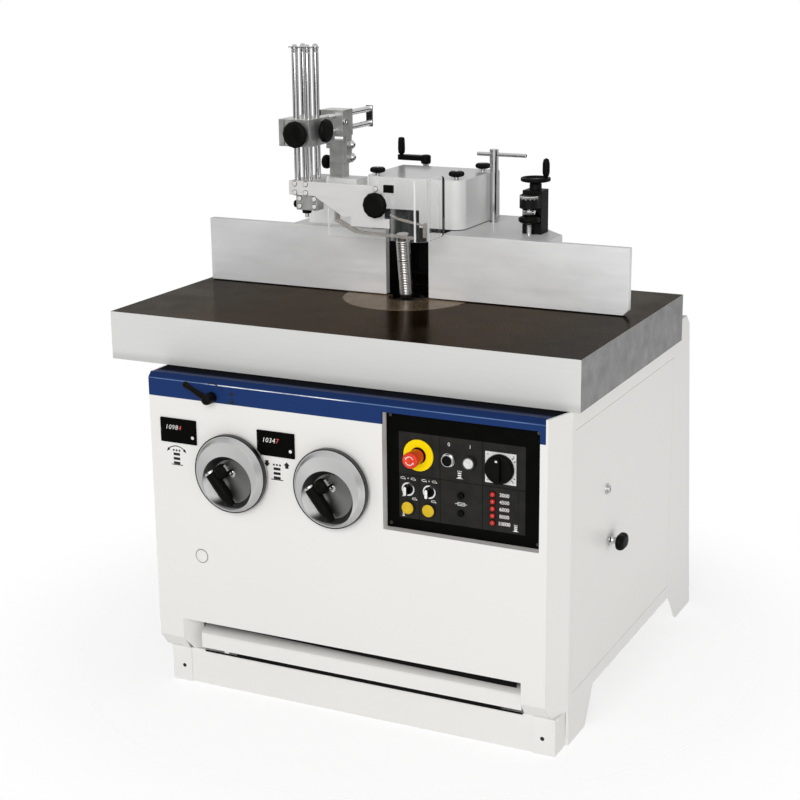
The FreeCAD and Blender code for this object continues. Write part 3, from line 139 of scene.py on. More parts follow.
class Nodes:
    """A node tree in the making, whose methods add nodes and give back their outputs."""

    def __init__(self, tree):
        self.tree = tree

    def node(self, kind, inputs=None, **settings):
        """Adds a shader node; an input is either a value or another node's output."""
        made = self.tree.nodes.new(kind)
        for key, value in settings.items():
            setattr(made, key, value)
        for key, value in (inputs or {}).items():
            if isinstance(value, bpy.types.NodeSocket):
                self.tree.links.new(value, made.inputs[key])
            else:
                made.inputs[key].default_value = value
        return made

    def calc(self, operation, first, second=0.0, clamp=False):
        inputs = {0: first, 1: second}
        return self.node("ShaderNodeMath", inputs, operation=operation, use_clamp=clamp).outputs[0]

    def times(self, first, second):
        return self.calc("MULTIPLY", first, second)

    def plus(self, first, second):
        return self.calc("ADD", first, second)

    def minus(self, first, second):
        return self.calc("SUBTRACT", first, second)

    def most(self, first, *others):
        """The largest of some values."""
        for other in others:
            first = self.calc("MAXIMUM", first, other)
        return first

    def line(self, value, factor, start):
        """A value times a factor, plus a start."""
        inputs = {0: value, 1: factor, 2: start}
        return self.node("ShaderNodeMath", inputs, operation="MULTIPLY_ADD").outputs[0]

    def vector(self, operation, inputs, output=0):
        return self.node("ShaderNodeVectorMath", inputs, operation=operation).outputs[output]

    def between(self, value, low, high, to_low=0.0, to_high=1.0, smooth=True):
        """Maps a value from one span to another, clamped."""
        kind = "SMOOTHSTEP" if smooth else "LINEAR"
        return self.node("ShaderNodeMapRange", {0: value, 1: low, 2: high, 3: to_low, 4: to_high},
                         interpolation_type=kind, clamp=True).outputs[0]

    def mixed(self, share, first, second):
        """Mixes two colours, each a node's output or a plain colour."""
        first, second = (part if isinstance(part, bpy.types.NodeSocket) else solid(part)
                         for part in (first, second))
        return self.node("ShaderNodeMix", {0: share, 6: first, 7: second}, data_type="RGBA").outputs[2]

    def shaded(self, tint, *tones):
        """A colour made lighter or darker by tones about one."""
        for tone in tones:
            tint = self.vector("MULTIPLY", {0: tint, 1: tone})
        return tint

    def place(self):
        """The place on the surface, in the row frame."""
        return self.node("ShaderNodeTexCoord").outputs["Object"]

    def normal(self):
        return self.node("ShaderNodeTexCoord").outputs["Normal"]

    def parts(self, vector):
        """The X, Y and Z parts of a vector."""
        return self.node("ShaderNodeSeparateXYZ", {0: vector}).outputs

    def radius(self, centre):
        """The distance from a line along the depth of the machine."""
        away = self.vector("SUBTRACT", {0: self.place(), 1: centre})
        flat = self.vector("MULTIPLY", {0: away, 1: (1.0, 0.0, 1.0)})
        return self.vector("LENGTH", {0: flat}, "Value")

    def noise(self, scale, detail=3.0, roughness=0.55, stretch=None):
        place = self.place()
        if stretch is not None:
            place = self.node("ShaderNodeMapping", {"Vector": place, "Scale": stretch}).outputs[0]
        return self.node("ShaderNodeTexNoise", {"Vector": place, "Scale": scale, "Detail": detail,
                                                "Roughness": roughness}).outputs["Fac"]

    def effect(self, key, **inputs):
        """Places a shared effect, building it the first time."""
        if key not in made_effects:
            made_effects[key] = EFFECTS[key]()
        made = self.tree.nodes.new("ShaderNodeGroup")
        made.node_tree = made_effects[key]
        for label, value in inputs.items():
            made.inputs[label].default_value = value
        return made.outputs

    def box(self, low, high):
        """A mask of a box between two corners in millimetres from the table top's middle."""
        return self.effect("box", Low=spot(*low), High=spot(*high))["Mask"]

    def ring(self, centre, outer, inner=0.0):
        """A mask between two radii, in metres, about a line along the depth of the machine."""
        return self.effect("ring", Centre=centre, Inner=inner, Outer=outer)["Mask"]


class Effect(Nodes):
    """A new node group whose inputs are numbers or vectors and whose outputs are numbers."""

    def __init__(self, name, outputs, **inputs):
        super().__init__(bpy.data.node_groups.new(name, "ShaderNodeTree"))
        for label, default in inputs.items():
            kind = "NodeSocketVector" if isinstance(default, tuple) else "NodeSocketFloat"
            socket = self.tree.interface.new_socket(name=label, in_out="INPUT", socket_type=kind)
            socket.default_value = default
        for label in outputs:
            self.tree.interface.new_socket(name=label, in_out="OUTPUT", socket_type="NodeSocketFloat")
        self.given = self.tree.nodes.new("NodeGroupInput").outputs
        self.results = self.tree.nodes.new("NodeGroupOutput").inputs

    def tone(self, value, middle):
        """A tone about one that swings with a value by the given amount."""
        return self.line(self.times(self.minus(value, middle), 2.0), self.given["Amount"], 1.0)

    def give(self, **results):
        for label, value in results.items():
            self.tree.links.new(value, self.results[label])
        return self.tree


def paint_skin_effect():
    """Cloudy tone and the fine orange peel of sprayed paint."""
    group = Effect("Paint skin", ("Tone", "Peel"), Scale=3.0, Amount=0.02)
    cloud = group.noise(group.given["Scale"], 4.0)
    return group.give(Tone=group.tone(cloud, 0.5), Peel=group.noise(420.0, 2.0))


def edge_wear_effect():
    """A broken mask along the edges that hands and work rub against."""
    group = Effect("Edge wear", ("Mask",), Radius=0.002, Amount=1.0)
    round_normal = group.node("ShaderNodeBevel", {"Radius": group.given["Radius"]}, samples=6).outputs[0]
    flat_normal = group.node("ShaderNodeNewGeometry").outputs["Normal"]
    alike = group.vector("DOT_PRODUCT", {0: round_normal, 1: flat_normal}, "Value")
    edge = group.between(alike, 0.99, 0.86)
    patches = group.between(group.noise(60.0, 4.0), 0.38, 0.68)
    return group.give(Mask=group.calc("MULTIPLY", group.times(edge, patches), group.given["Amount"], True))


def settled_dust_effect():
    """Fine dust that lies in patches on faces that look up."""
    group = Effect("Settled dust", ("Mask",), Amount=0.2)
    lift = group.parts(group.node("ShaderNodeNewGeometry").outputs["Normal"])["Z"]
    upward = group.between(lift, 0.4, 0.95)
    patches = group.between(group.noise(14.0, 5.0, 0.65), 0.42, 0.75)
    return group.give(Mask=group.calc("MULTIPLY", group.times(upward, patches), group.given["Amount"], True))


def drawn_lines_effect():
    """Fine lines left by planing or brushing, stretched along the object's axes."""
    group = Effect("Drawn lines", ("Tone", "Height"), Stretch=(1.0, 1.0, 40.0), Amount=0.05)
    lines = group.noise(9.0, 5.0, 0.7, group.given["Stretch"])
    return group.give(Tone=group.tone(lines, 0.5), Height=lines)


def cast_skin_effect():
    """The blotchy, pitted skin of a casting."""
    group = Effect("Cast skin", ("Tone", "Height"), Scale=60.0, Amount=0.1)
    blotch = group.noise(group.given["Scale"], 6.0, 0.7)
    both = group.line(group.noise(380.0, 3.0, 0.6), 0.35, blotch)
    return group.give(Tone=group.tone(both, 0.675), Height=both)


def moulded_skin_effect():
    """The faint grain and smudges of a moulded plastic surface."""
    group = Effect("Moulded skin", ("Tone", "Height"), Scale=900.0)
    grain = group.noise(group.given["Scale"], 2.0)
    return group.give(Tone=group.between(group.noise(35.0, 4.0), 0.3, 0.7, 0.85, 1.2), Height=grain)


def milling_effect():
    """Rows of curved tool marks across a ground table."""
    group = Effect("Milling arcs", ("Wave", "Tone"), Pitch=0.0095, Radius=0.42)
    place = group.parts(group.place())
    across = group.minus(place["Y"], table_middle.y)
    radius_square = group.times(group.given["Radius"], group.given["Radius"])
    reach = group.calc("SQRT", group.most(group.minus(radius_square, group.times(across, across)), 0.0))
    drift = group.times(group.noise(4.0, 2.0), 0.006)
    along = group.plus(group.plus(place["X"], reach), drift)
    wave = group.calc("SINE", group.times(group.calc("DIVIDE", along, group.given["Pitch"]), 2 * math.pi))
    faint = group.between(group.noise(7.0, 4.0), 0.3, 0.7, 0.35, 1.0)
    return group.give(Wave=wave, Tone=group.line(group.times(wave, faint), 0.95, 1.0))


def box_zone_effect():
    """A mask that is one inside a box of the row frame."""
    group = Effect("Box zone", ("Mask",), Low=(0.0, 0.0, 0.0), High=(1.0, 1.0, 1.0))
    place = group.place()
    above = group.parts(group.vector("SUBTRACT", {0: place, 1: group.given["Low"]}))
    below = group.parts(group.vector("SUBTRACT", {0: group.given["High"], 1: place}))
    sides = list(above) + list(below)
    nearest = sides[0]
    for side in sides[1:]:
        nearest = group.calc("MINIMUM", nearest, side)
    return group.give(Mask=group.calc("GREATER_THAN", nearest, 0.0))


def ring_zone_effect():
    """A mask that is one between two radii about a line along the depth of the machine."""
    group = Effect("Ring zone", ("Mask",), Centre=(0.0, 0.0, 0.0), Inner=0.0, Outer=0.01)
    radius = group.radius(group.given["Centre"])
    outside = group.calc("GREATER_THAN", radius, group.given["Inner"])
    inside = group.calc("LESS_THAN", radius, group.given["Outer"])
    return group.give(Mask=group.times(outside, inside))


EFFECTS = {
    "paint": paint_skin_effect, "wear": edge_wear_effect, "dust": settled_dust_effect,
    "lines": drawn_lines_effect, "cast": cast_skin_effect, "moulded": moulded_skin_effect,
    "milling": milling_effect, "box": box_zone_effect, "ring": ring_zone_effect,
}
made_effects = {}


class Finish(Nodes):
    """A material with one main shader, whose base colour is built up step by step."""

    def __init__(self, name, level=None, **constants):
        self.material = bpy.data.materials.new(name)
        self.material.use_nodes = True
        super().__init__(self.material.node_tree)
        self.tree.nodes.clear()
        self.shader = self.tree.nodes.new("ShaderNodeBsdfPrincipled")
        self.out = self.tree.nodes.new("ShaderNodeOutputMaterial")
        self.tree.links.new(self.shader.outputs[0], self.out.inputs[0])
        if level is not None:
            constants["Specular_IOR_Level"] = level
        for label, value in constants.items():
            self.shader.inputs[label.replace("_", " ")].default_value = value

    def cover(self, mask, tint):
        """Lays a colour over the base where a mask is one."""
        self.base = self.mixed(mask, self.base, tint)

    def rub(self, radius, amount, tint):
        """Rubbed edges in a paler colour."""
        self.cover(self.effect("wear", Radius=radius, Amount=amount)["Mask"], tint)

    def dust(self, amount, tint):
        self.cover(self.effect("dust", Amount=amount)["Mask"], tint)

    def done(self, roughness=None, metallic=None, alpha=None, height=None, bump=0.1, depth=0.0005):
        """Links what changes over the surface and gives back the material."""
        inputs = (("Base Color", self.base), ("Roughness", roughness), ("Metallic", metallic),
                  ("Alpha", alpha))
        for label, value in inputs:
            if value is not None:
                self.tree.links.new(value, self.shader.inputs[label])
        if height is not None:
            raised = self.node("ShaderNodeBump", {"Strength": bump, "Distance": depth, "Height": height})
            self.tree.links.new(raised.outputs[0], self.shader.inputs["Normal"])
        return self.material


PAINT_DUST = (0.52, 0.47, 0.40)


def paint_finish(name, tint, gloss=0.34, amount=0.018, wear=0.35, dust=0.10):
    """Sprayed paint with cloudy tone, orange peel, rubbed edges and a little dust."""
    look = Finish(name, 0.35)
    skin = look.effect("paint", Scale=2.2, Amount=amount)
    look.base = look.shaded(tint, skin["Tone"])
    look.rub(0.0022, wear, [0.45 + 0.4 * part for part in tint])
    look.dust(dust, PAINT_DUST)
    rough = look.between(skin["Tone"], 1.0 - amount, 1.0 + amount, gloss - 0.05, gloss + 0.07)
    return look.done(rough, height=skin["Peel"], bump=0.05, depth=0.0003)


def metal_finish(name, tint, gloss=0.3, metallic=1.0, stretch=(1.0, 1.0, 40.0), amount=0.05, bump=0.04,
                 wear=0.25):
    """Drawn, brushed or planed metal."""
    look = Finish(name, Metallic=metallic)
    lines = look.effect("lines", Stretch=stretch, Amount=amount)
    look.base = look.shaded(tint, lines["Tone"])
    look.rub(0.0015, wear, [min(1.0, part * 1.25) for part in tint])
    rough = look.between(lines["Height"], 0.3, 0.7, gloss - 0.06, gloss + 0.08)
    return look.done(rough, height=lines["Height"], bump=bump, depth=0.0002)


def cast_finish(name, tint, gloss=0.5, metallic=0.0, amount=0.12, dust=0.12, level=0.35):
    """A casting: blotchy, slightly pitted, with rubbed edges and dust in its hollows."""
    look = Finish(name, level, Metallic=metallic)
    skin = look.effect("cast", Scale=60.0, Amount=amount)
    look.base = look.shaded(tint, skin["Tone"])
    look.rub(0.003, 0.4, [min(1.0, part * 1.3) for part in tint])
    look.dust(dust, (0.50, 0.45, 0.38))
    rough = look.between(skin["Height"], 0.3, 1.0, gloss - 0.08, gloss + 0.1)
    return look.done(rough, height=skin["Height"], bump=0.18, depth=0.0006)


def plastic_finish(name, tint, gloss=0.42, level=0.10, wear=0.2, scale=900.0, bump=0.06):
    """Moulded plastic with a faint grain, smudges and slightly pale edges."""
    look = Finish(name, level)
    skin = look.effect("moulded", Scale=scale)
    look.base = look.shaded(tint, skin["Tone"])
    look.rub(0.0012, wear, [0.012 + 0.95 * part for part in tint])
    rough = look.between(skin["Tone"], 0.85, 1.2, gloss - 0.06, gloss + 0.08)
    return look.done(rough, height=skin["Height"], bump=bump, depth=0.0002)


def side_axes(axis):
    """Two directions square to an axis and to each other."""
    helper = UP if abs(axis.z) < 0.9 else RIGHT
    first = helper.cross(axis).normalized()
    return first, axis.cross(first)


def softened(profile, radius, steps=3):
    """A profile whose inner corners are rounded by a radius in millimetres."""
    points = [profile[0]]
    for before, corner, after in zip(profile, profile[1:], profile[2:]):
        here = Vector(corner)
        back = Vector(before) - here
        ahead = Vector(after) - here
        reach = min(radius, 0.45 * back.length, 0.45 * ahead.length)
        if reach < 0.02:
            points.append(corner)
            continue
        start = here + back.normalized() * reach
        end = here + ahead.normalized() * reach
        for step in range(steps + 1):
            share = step / steps
            first = start.lerp(here, share)
            second = here.lerp(end, share)
            points.append(tuple(first.lerp(second, share)))
    points.append(profile[-1])
    return points


def arc_points(radius, start, end, steps=14, x=0.0, y=0.0):
    """Points on an arc, with angles in degrees."""
    found = []
    for step in range(steps + 1):
        angle = math.radians(start + (end - start) * step / steps)
        found.append((x + radius * math.cos(angle), y + radius * math.sin(angle)))
    return found


def rounded_outline(width, height, radius, steps=5):
    """A rectangle about its middle with rounded corners."""
    across = width / 2 - radius
    upward = height / 2 - radius
    points = []
    for x, y, start in ((across, upward, 0), (-across, upward, 90),
                        (-across, -upward, 180), (across, -upward, 270)):
        points += arc_points(radius, start, start + 90, steps, x, y)
    return points


def lobed(lobes, swing):
    """A wave for turned rims: a radius of one at each lobe, and less by twice the swing between them."""
    return lambda angle: 1 - swing + swing * math.cos(lobes * angle)


class Shape:
    """A mesh in the making: places are in metres, sizes in millimetres."""

    def __init__(self):
        self.bm = bmesh.new()

    def faces(self, corner_lists, index):
        """Adds faces with a material's number."""
        made = [self.bm.faces.new(corners) for corners in corner_lists]
        for face in made:
            face.material_index = index
        return made

    def turn(self, place, axis, profile, sides=48, index=0, wave=None, cap=True):
        """Turns a profile of (radius, height) pairs about an axis."""
        first, second = side_axes(axis)
        rings = []
        for radius, height in profile:
            centre = place + axis * (height * MM)
            if radius < 1e-6:
                rings.append([self.bm.verts.new(centre)])
                continue
            ring = []
            for number in range(sides):
                angle = 2 * math.pi * number / sides
                reach = radius * MM * (wave(angle) if wave else 1.0)
                out = (first * math.cos(angle) + second * math.sin(angle)) * reach
                ring.append(self.bm.verts.new(centre + out))
            rings.append(ring)
        corner_lists = []
        for lower, upper in zip(rings, rings[1:]):
            for number in range(sides):
                after = (number + 1) % sides
                corner_lists.append(list(dict.fromkeys((
                    lower[number % len(lower)], lower[after % len(lower)],
                    upper[after % len(upper)], upper[number % len(upper)]))))
        if cap:
            corner_lists += [rings[0], rings[-1]]
        return self.faces([corners for corners in corner_lists if len(corners) > 2], index)

    def press(self, outline, place, depth, index=0, across=RIGHT, upward=UP):
        """Extrudes a flat outline of (across, up) pairs by a depth along across x upward."""
        out = across.cross(upward).normalized() * (depth * MM)
        near = [self.bm.verts.new(place + (across * a + upward * b) * MM) for a, b in outline]
        far = [self.bm.verts.new(vert.co + out) for vert in near]
        sides = zip(near, near[1:] + near[:1], far[1:] + far[:1], far)
        return self.faces([near, far] + list(sides), index)

    def brick(self, low, high, index=0):
        """A block between two corners in millimetres from the table top's middle."""
        width, length, height = (end - start for start, end in zip(low, high))
        outline = [(0, 0), (width, 0), (width, length), (0, length)]
        self.press(outline, spot(*low), height, index, RIGHT, BACK)

    def sweep(self, path, radii, sides, flatten, flat_axis):
        """An oval rod along a path of points, with one radius at each point, flattened along an axis."""
        rings = []
        for number, point in enumerate(path):
            before = path[max(0, number - 1)]
            after = path[min(len(path) - 1, number + 1)]
            heading = (after - before).normalized()
            second = (flat_axis - heading * flat_axis.dot(heading)).normalized()
            first = second.cross(heading)
            reach = radii[number] * MM
            angles = [2 * math.pi * step / sides for step in range(sides)]
            corners = [point + first * math.cos(angle) * reach + second * math.sin(angle) * reach * flatten
                       for angle in angles]
            rings.append([self.bm.verts.new(corner) for corner in corners])
        corner_lists = [rings[0], rings[-1]]
        for lower, upper in zip(rings, rings[1:]):
            corner_lists += zip(lower, lower[1:] + lower[:1], upper[1:] + upper[:1], upper)
        self.faces(corner_lists, 0)

    def stroke(self, points, width, place, index=0, across=RIGHT, upward=UP):
        """A flat printed line of a given width through points."""
        pairs = []
        for number, point in enumerate(points):
            here = Vector(point)
            before = Vector(points[max(0, number - 1)])
            after = Vector(points[min(len(points) - 1, number + 1)])
            way = (after - before).normalized()
            out = Vector((-way.y, way.x)) * (width / 2)
            sides = [across * (here.x + sign * out.x) + upward * (here.y + sign * out.y)
                     for sign in (1, -1)]
            pairs.append([self.bm.verts.new(place + side * MM) for side in sides])
        self.faces([(start[0], start[1], end[1], end[0]) for start, end in zip(pairs, pairs[1:])], index)

    def patch(self, outline, place, index=0):
        """A flat printed shape on a face that looks to the front."""
        self.faces([[self.bm.verts.new(place + (RIGHT * a + UP * b) * MM) for a, b in outline]], index)

    def letters(self, text, height, place, index=0, slant=0.0, bold=0.0):
        """Flat printed figures of a height in metres, centred on a place."""
        curve = bpy.data.curves.new("figures", "FONT")
        curve.body = text
        curve.size = height / 0.69
        curve.align_x = "CENTER"
        curve.align_y = "CENTER"
        curve.shear = slant
        curve.resolution_u = 3
        curve.offset = height * bold
        holder = bpy.data.objects.new("figures", curve)
        flat = bpy.data.meshes.new_from_object(holder)
        upright = Matrix((RIGHT, UP, FRONT)).transposed().to_4x4()
        flat.transform(Matrix.Translation(place) @ upright)
        before = len(self.bm.faces)
        self.bm.from_mesh(flat)
        self.bm.faces.ensure_lookup_table()
        for number in range(before, len(self.bm.faces)):
            self.bm.faces[number].material_index = index
        bpy.data.objects.remove(holder)
        bpy.data.curves.remove(curve)
        bpy.data.meshes.remove(flat)

    def piece(self, name, body, keys, node=None, rounding=0.0, sharp=32.0):
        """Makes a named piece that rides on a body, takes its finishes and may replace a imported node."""
        if not self.bm.faces:
            raise RuntimeError("the piece %s has no faces" % name)
        bmesh.ops.recalc_face_normals(self.bm, faces=self.bm.faces)
        mesh = bpy.data.meshes.new(name)
        self.bm.to_mesh(mesh)
        self.bm.free()
        for key in keys:
            mesh.materials.append(finish(key))
        mesh.shade_smooth()
        mesh.set_sharp_from_angle(angle=math.radians(sharp))
        made = bpy.data.objects.new(name, mesh)
        bpy.context.scene.collection.objects.link(made)
        if rounding:
            edge = round_edges(made, rounding * MM, 2, 40)
            edge.harden_normals = True
        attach(made, body)
        if node:
            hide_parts(node)


def round_edges(made, width, segments, angle):
    """Rounds the edges that are sharper than an angle in degrees."""
    edge = made.modifiers.new("rounding", "BEVEL")
    edge.width = width
    edge.segments = segments
    edge.limit_method = "ANGLE"
    edge.angle_limit = math.radians(angle)
    return edge


def dress(node, key, rounding=0.0, segments=2, merge=True):
    """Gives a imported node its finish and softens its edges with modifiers."""
    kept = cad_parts[node]
    material = key if isinstance(key, bpy.types.Material) else finish(key)
    if not kept.material_slots:
        raise RuntimeError("the node %s has no material slot" % node)
    for slot in kept.material_slots:
        slot.link = "OBJECT"
        slot.material = material
    if rounding:
        kept.modifiers.new("weld", "WELD").merge_threshold = 0.00001
        if merge:
            flat = kept.modifiers.new("flat faces", "DECIMATE")
            flat.decimate_type = "DISSOLVE"
            flat.angle_limit = math.radians(0.6)
        round_edges(kept, rounding, segments, 28.0).miter_outer = "MITER_ARC"
        normals = kept.modifiers.new("normals", "WEIGHTED_NORMAL")
        normals.keep_sharp = False
        normals.weight = 60


# Turn, fall and roll in radians, place in millimetres, lens and shift, fitted to the table and cabinet
CAMERA_TURN = 0.45063
CAMERA_FALL = 0.26112
CAMERA_ROLL = -0.00862
CAMERA_PLACE = (1776.06, -3618.98, 866.57)
CAMERA_LENS = 75.94
CAMERA_SHIFT = (-0.0141, -0.0176)

# Name, place, target, width and height in metres, and power in watts
LAMPS = (
    ("key lamp", (1.5, -6.9, 3.7), (0.1, -0.1, 0.75), 4.6, 4.6, 300.0),
    ("left lamp", (-3.0, -3.0, 2.2), (-0.2, -0.2, 0.7), 2.6, 2.6, 9.0),
    ("side lamp", (2.4, -0.3, 0.2), (0.57, -0.1, 0.25), 1.6, 0.4, 7.0),
)

# Name, start and end in degrees from the front toward the right, radius and top in metres
CARDS = (
    ("left card", -56, -16, 4.0, 2.0),
    ("right card", 62, 104, 4.0, 2.0),
    ("rear card", 140, 272, 6.0, 1.75),
)
CARD_FOOT = 0.02


def aim_camera(scene):
    """Puts the camera where the photograph was taken from."""
    ahead = Vector((-math.sin(CAMERA_TURN) * math.cos(CAMERA_FALL),
                    math.cos(CAMERA_TURN) * math.cos(CAMERA_FALL), -math.sin(CAMERA_FALL)))
    level = Vector((math.cos(CAMERA_TURN), math.sin(CAMERA_TURN), 0))
    over = level.cross(ahead)
    right = level * math.cos(CAMERA_ROLL) + over * math.sin(CAMERA_ROLL)
    upward = over * math.cos(CAMERA_ROLL) - level * math.sin(CAMERA_ROLL)
    lens = bpy.data.cameras.new("camera")
    lens.sensor_width = 36.0
    lens.lens = CAMERA_LENS
    lens.shift_x, lens.shift_y = CAMERA_SHIFT
    lens.dof.use_dof = False
    holder = bpy.data.objects.new("camera", lens)
    turned = Matrix((right, upward, -ahead)).transposed().to_4x4()
    holder.matrix_world = Matrix.Translation(spot(*CAMERA_PLACE)) @ turned
    scene.collection.objects.link(holder)
    scene.camera = holder


def soft_lamp(scene, name, place, target, width, height, power):
    """A soft lamp aimed at a target."""
    lamp = bpy.data.lights.new(name, "AREA")
    lamp.shape = "RECTANGLE"
    lamp.size = width
    lamp.size_y = height
    lamp.energy = power
    holder = bpy.data.objects.new(name, lamp)
    holder.location = place
    holder.rotation_euler = (Vector(target) - Vector(place)).to_track_quat("-Z", "Y").to_euler()
    scene.collection.objects.link(holder)


def white_surround(scene):
    """A surround that the camera and mirrors see as white, and that lights most from below."""
    world = bpy.data.worlds.new("white surround")
    scene.world = world
    world.use_nodes = True
    look = Nodes(world.node_tree)
    look.tree.nodes.clear()
    white = (1, 1, 1, 1)
    shown = look.node("ShaderNodeBackground", {"Color": white, "Strength": 1.0}).outputs[0]
    height = look.parts(look.node("ShaderNodeTexCoord").outputs["Generated"])["Z"]
    strength = look.between(height, 0.0, 1.0, 0.72, 0.05)
    light = look.node("ShaderNodeBackground", {"Color": white, "Strength": strength}).outputs[0]
    rays = look.node("ShaderNodeLightPath").outputs
    seen = look.most(rays["Is Camera Ray"], rays["Is Glossy Ray"], rays["Is Transmission Ray"])
    mix = look.node("ShaderNodeMixShader", {0: seen, 1: light, 2: shown}).outputs[0]
    look.node("ShaderNodeOutputWorld", {0: mix})


def stage_piece(scene, shape, name, material):
    """Makes a mesh that belongs to the stage."""
    mesh = bpy.data.meshes.new(name)
    shape.bm.to_mesh(mesh)
    shape.bm.free()
    mesh.materials.append(material)
    made = bpy.data.objects.new(name, mesh)
    scene.collection.objects.link(made)
    return made


def stage_finish(name, tint, roughness, amount):
    """A flat finish without gloss."""
    look = Finish(name, 0.0, Roughness=roughness)
    look.base = look.shaded(tint, look.effect("paint", Scale=0.8, Amount=amount)["Tone"])
    look.done()
    return look


def pale_floor(scene):
    """A round floor that takes shadows near the machine and fades into the surround."""
    shape = Shape()
    shape.turn(Vector((0, 0, 0)), UP, [(0, 0), (1200, 0), (2400, 0), (4200, 0)], 96, cap=False)
    look = stage_finish("pale floor", (0.93, 0.93, 0.93), 0.9, 0.008)
    rays = look.node("ShaderNodeLightPath").outputs
    look.shader.inputs["Emission Color"].default_value = (1, 1, 1, 1)
    look.tree.links.new(look.times(rays["Is Camera Ray"], 0.28), look.shader.inputs["Emission Strength"])
    away = look.vector("LENGTH", {0: look.place()}, "Value")
    fade = look.between(away, 0.40, 1.30, 0.45, 1.0)
    clear = look.node("ShaderNodeBsdfTransparent").outputs[0]
    join = look.node("ShaderNodeMixShader", {0: fade, 1: look.shader.outputs[0], 2: clear})
    look.tree.links.new(join.outputs[0], look.out.inputs[0])
    stage_piece(scene, shape, "floor", look.material)


def dark_card(scene, name, start, end, radius, top, material):
    """A dark curved card that only mirrors see."""
    shape = Shape()
    rows = []
    for angle in (math.radians(start + (end - start) * step / 24) for step in range(25)):
        out = Vector((math.sin(angle), -math.cos(angle), 0)) * radius
        rows.append((shape.bm.verts.new(out + UP * CARD_FOOT), shape.bm.verts.new(out + UP * top)))
    shape.faces([(before[0], after[0], after[1], before[1]) for before, after in zip(rows, rows[1:])], 0)
    card = stage_piece(scene, shape, name, material)
    card.visible_camera = False
    card.visible_diffuse = False
    card.visible_shadow = False
    card.visible_transmission = False


class MOULDER_OT_stage(bpy.types.Operator):
    """Sets the camera, the soft lamps, the white surround and the pale floor"""
    bl_idname = "moulder.stage"
    bl_label = "Stage"

    def execute(self, context):
        scene = context.scene
        scene.view_settings.view_transform = "Standard"
        aim_camera(scene)
        for lamp in LAMPS:
            soft_lamp(scene, *lamp)
        white_surround(scene)
        pale_floor(scene)
        dark = stage_finish("dark card", (0.02, 0.02, 0.02), 1.0, 0.05).material
        for card in CARDS:
            dark_card(scene, *card, dark)
        return {"FINISHED"}


def table_finish(colours, sizes):
    """Cast table: ground and oiled top with milling arcs, ground front, rough cast sides."""
    look = Finish("table iron", 0.3, Specular_Tint=(0.34, 0.315, 0.28, 1.0))
    normal = look.parts(look.normal())
    place = look.parts(look.place())
    top = look.between(normal["Z"], 0.75, 0.97)
    side = look.between(look.calc("ABSOLUTE", normal["X"]), 0.6, 0.9)
    arcs = look.effect("milling", Pitch=sizes.milling_pitch, Radius=sizes.milling_radius)
    # Painted reflection: the top is greyer near its two ends than between them.
    left_end = look.between(place["X"], table_low.x + 0.02, table_low.x + 0.36, 1.0, 0.0)
    right_end = look.between(place["X"], table_high.x - 0.30, table_high.x - 0.02)
    top_tint = look.mixed(look.most(left_end, right_end), colours.table_top, colours.table_end_reflection)
    stain = look.between(look.noise(5.0, 5.0, 0.6), 0.35, 0.75, 0.86, 1.12)
    top_tint = look.shaded(top_tint, arcs["Tone"], stain)
    lines = look.effect("lines", Stretch=(1.2, 1.0, 26.0), Amount=0.045)
    low_strip = look.between(place["Z"], table_low.z + 0.004, table_low.z + 0.026, 0.80, 1.0)
    front_tint = look.shaded(colours.table_face, lines["Tone"], low_strip)
    skin = look.effect("cast", Scale=20.0, Amount=0.5)
    look.base = look.mixed(side, front_tint, look.shaded(colours.table_side, skin["Tone"]))
    look.cover(top, top_tint)
    look.rub(0.0025, 0.7, (0.42, 0.41, 0.40))
    flat_rough = look.between(side, 0.0, 1.0, 0.40, 0.62, False)
    top_rough = look.between(look.noise(11.0, 4.0), 0.3, 0.7, 0.15, 0.24)
    rough = look.plus(look.times(top_rough, top), look.times(flat_rough, look.minus(1.0, top)))
    wave = look.times(look.times(arcs["Wave"], 0.05), top)
    pits = look.times(skin["Height"], side)
    return look.done(rough, look.times(top, 0.8), height=look.plus(wave, pits), bump=0.22, depth=0.0008)


def insert_finish(colours, sizes):
    """Ground round insert, browner and lighter than the table, with painted shade in the cutter chamber."""
    look = Finish("insert steel", Metallic=0.5, Specular_Tint=(0.50, 0.45, 0.40, 1.0))
    arcs = look.effect("milling", Pitch=sizes.milling_pitch * 0.6, Radius=sizes.milling_radius)
    stain = look.between(look.noise(16.0, 5.0, 0.6), 0.3, 0.75, 0.85, 1.12)
    look.base = look.shaded(colours.insert, arcs["Tone"], stain)
    # Painted shade: the insert is painted near black inside the cutter chamber, behind the fence line.
    look.cover(look.box((-150, 78, -30), (70, 400, 2)), look.shaded((0.004, 0.004, 0.0035), stain))
    rough = look.between(look.noise(25.0), 0.3, 0.7, 0.20, 0.30)
    return look.done(rough, height=arcs["Wave"], bump=0.02, depth=0.0003)


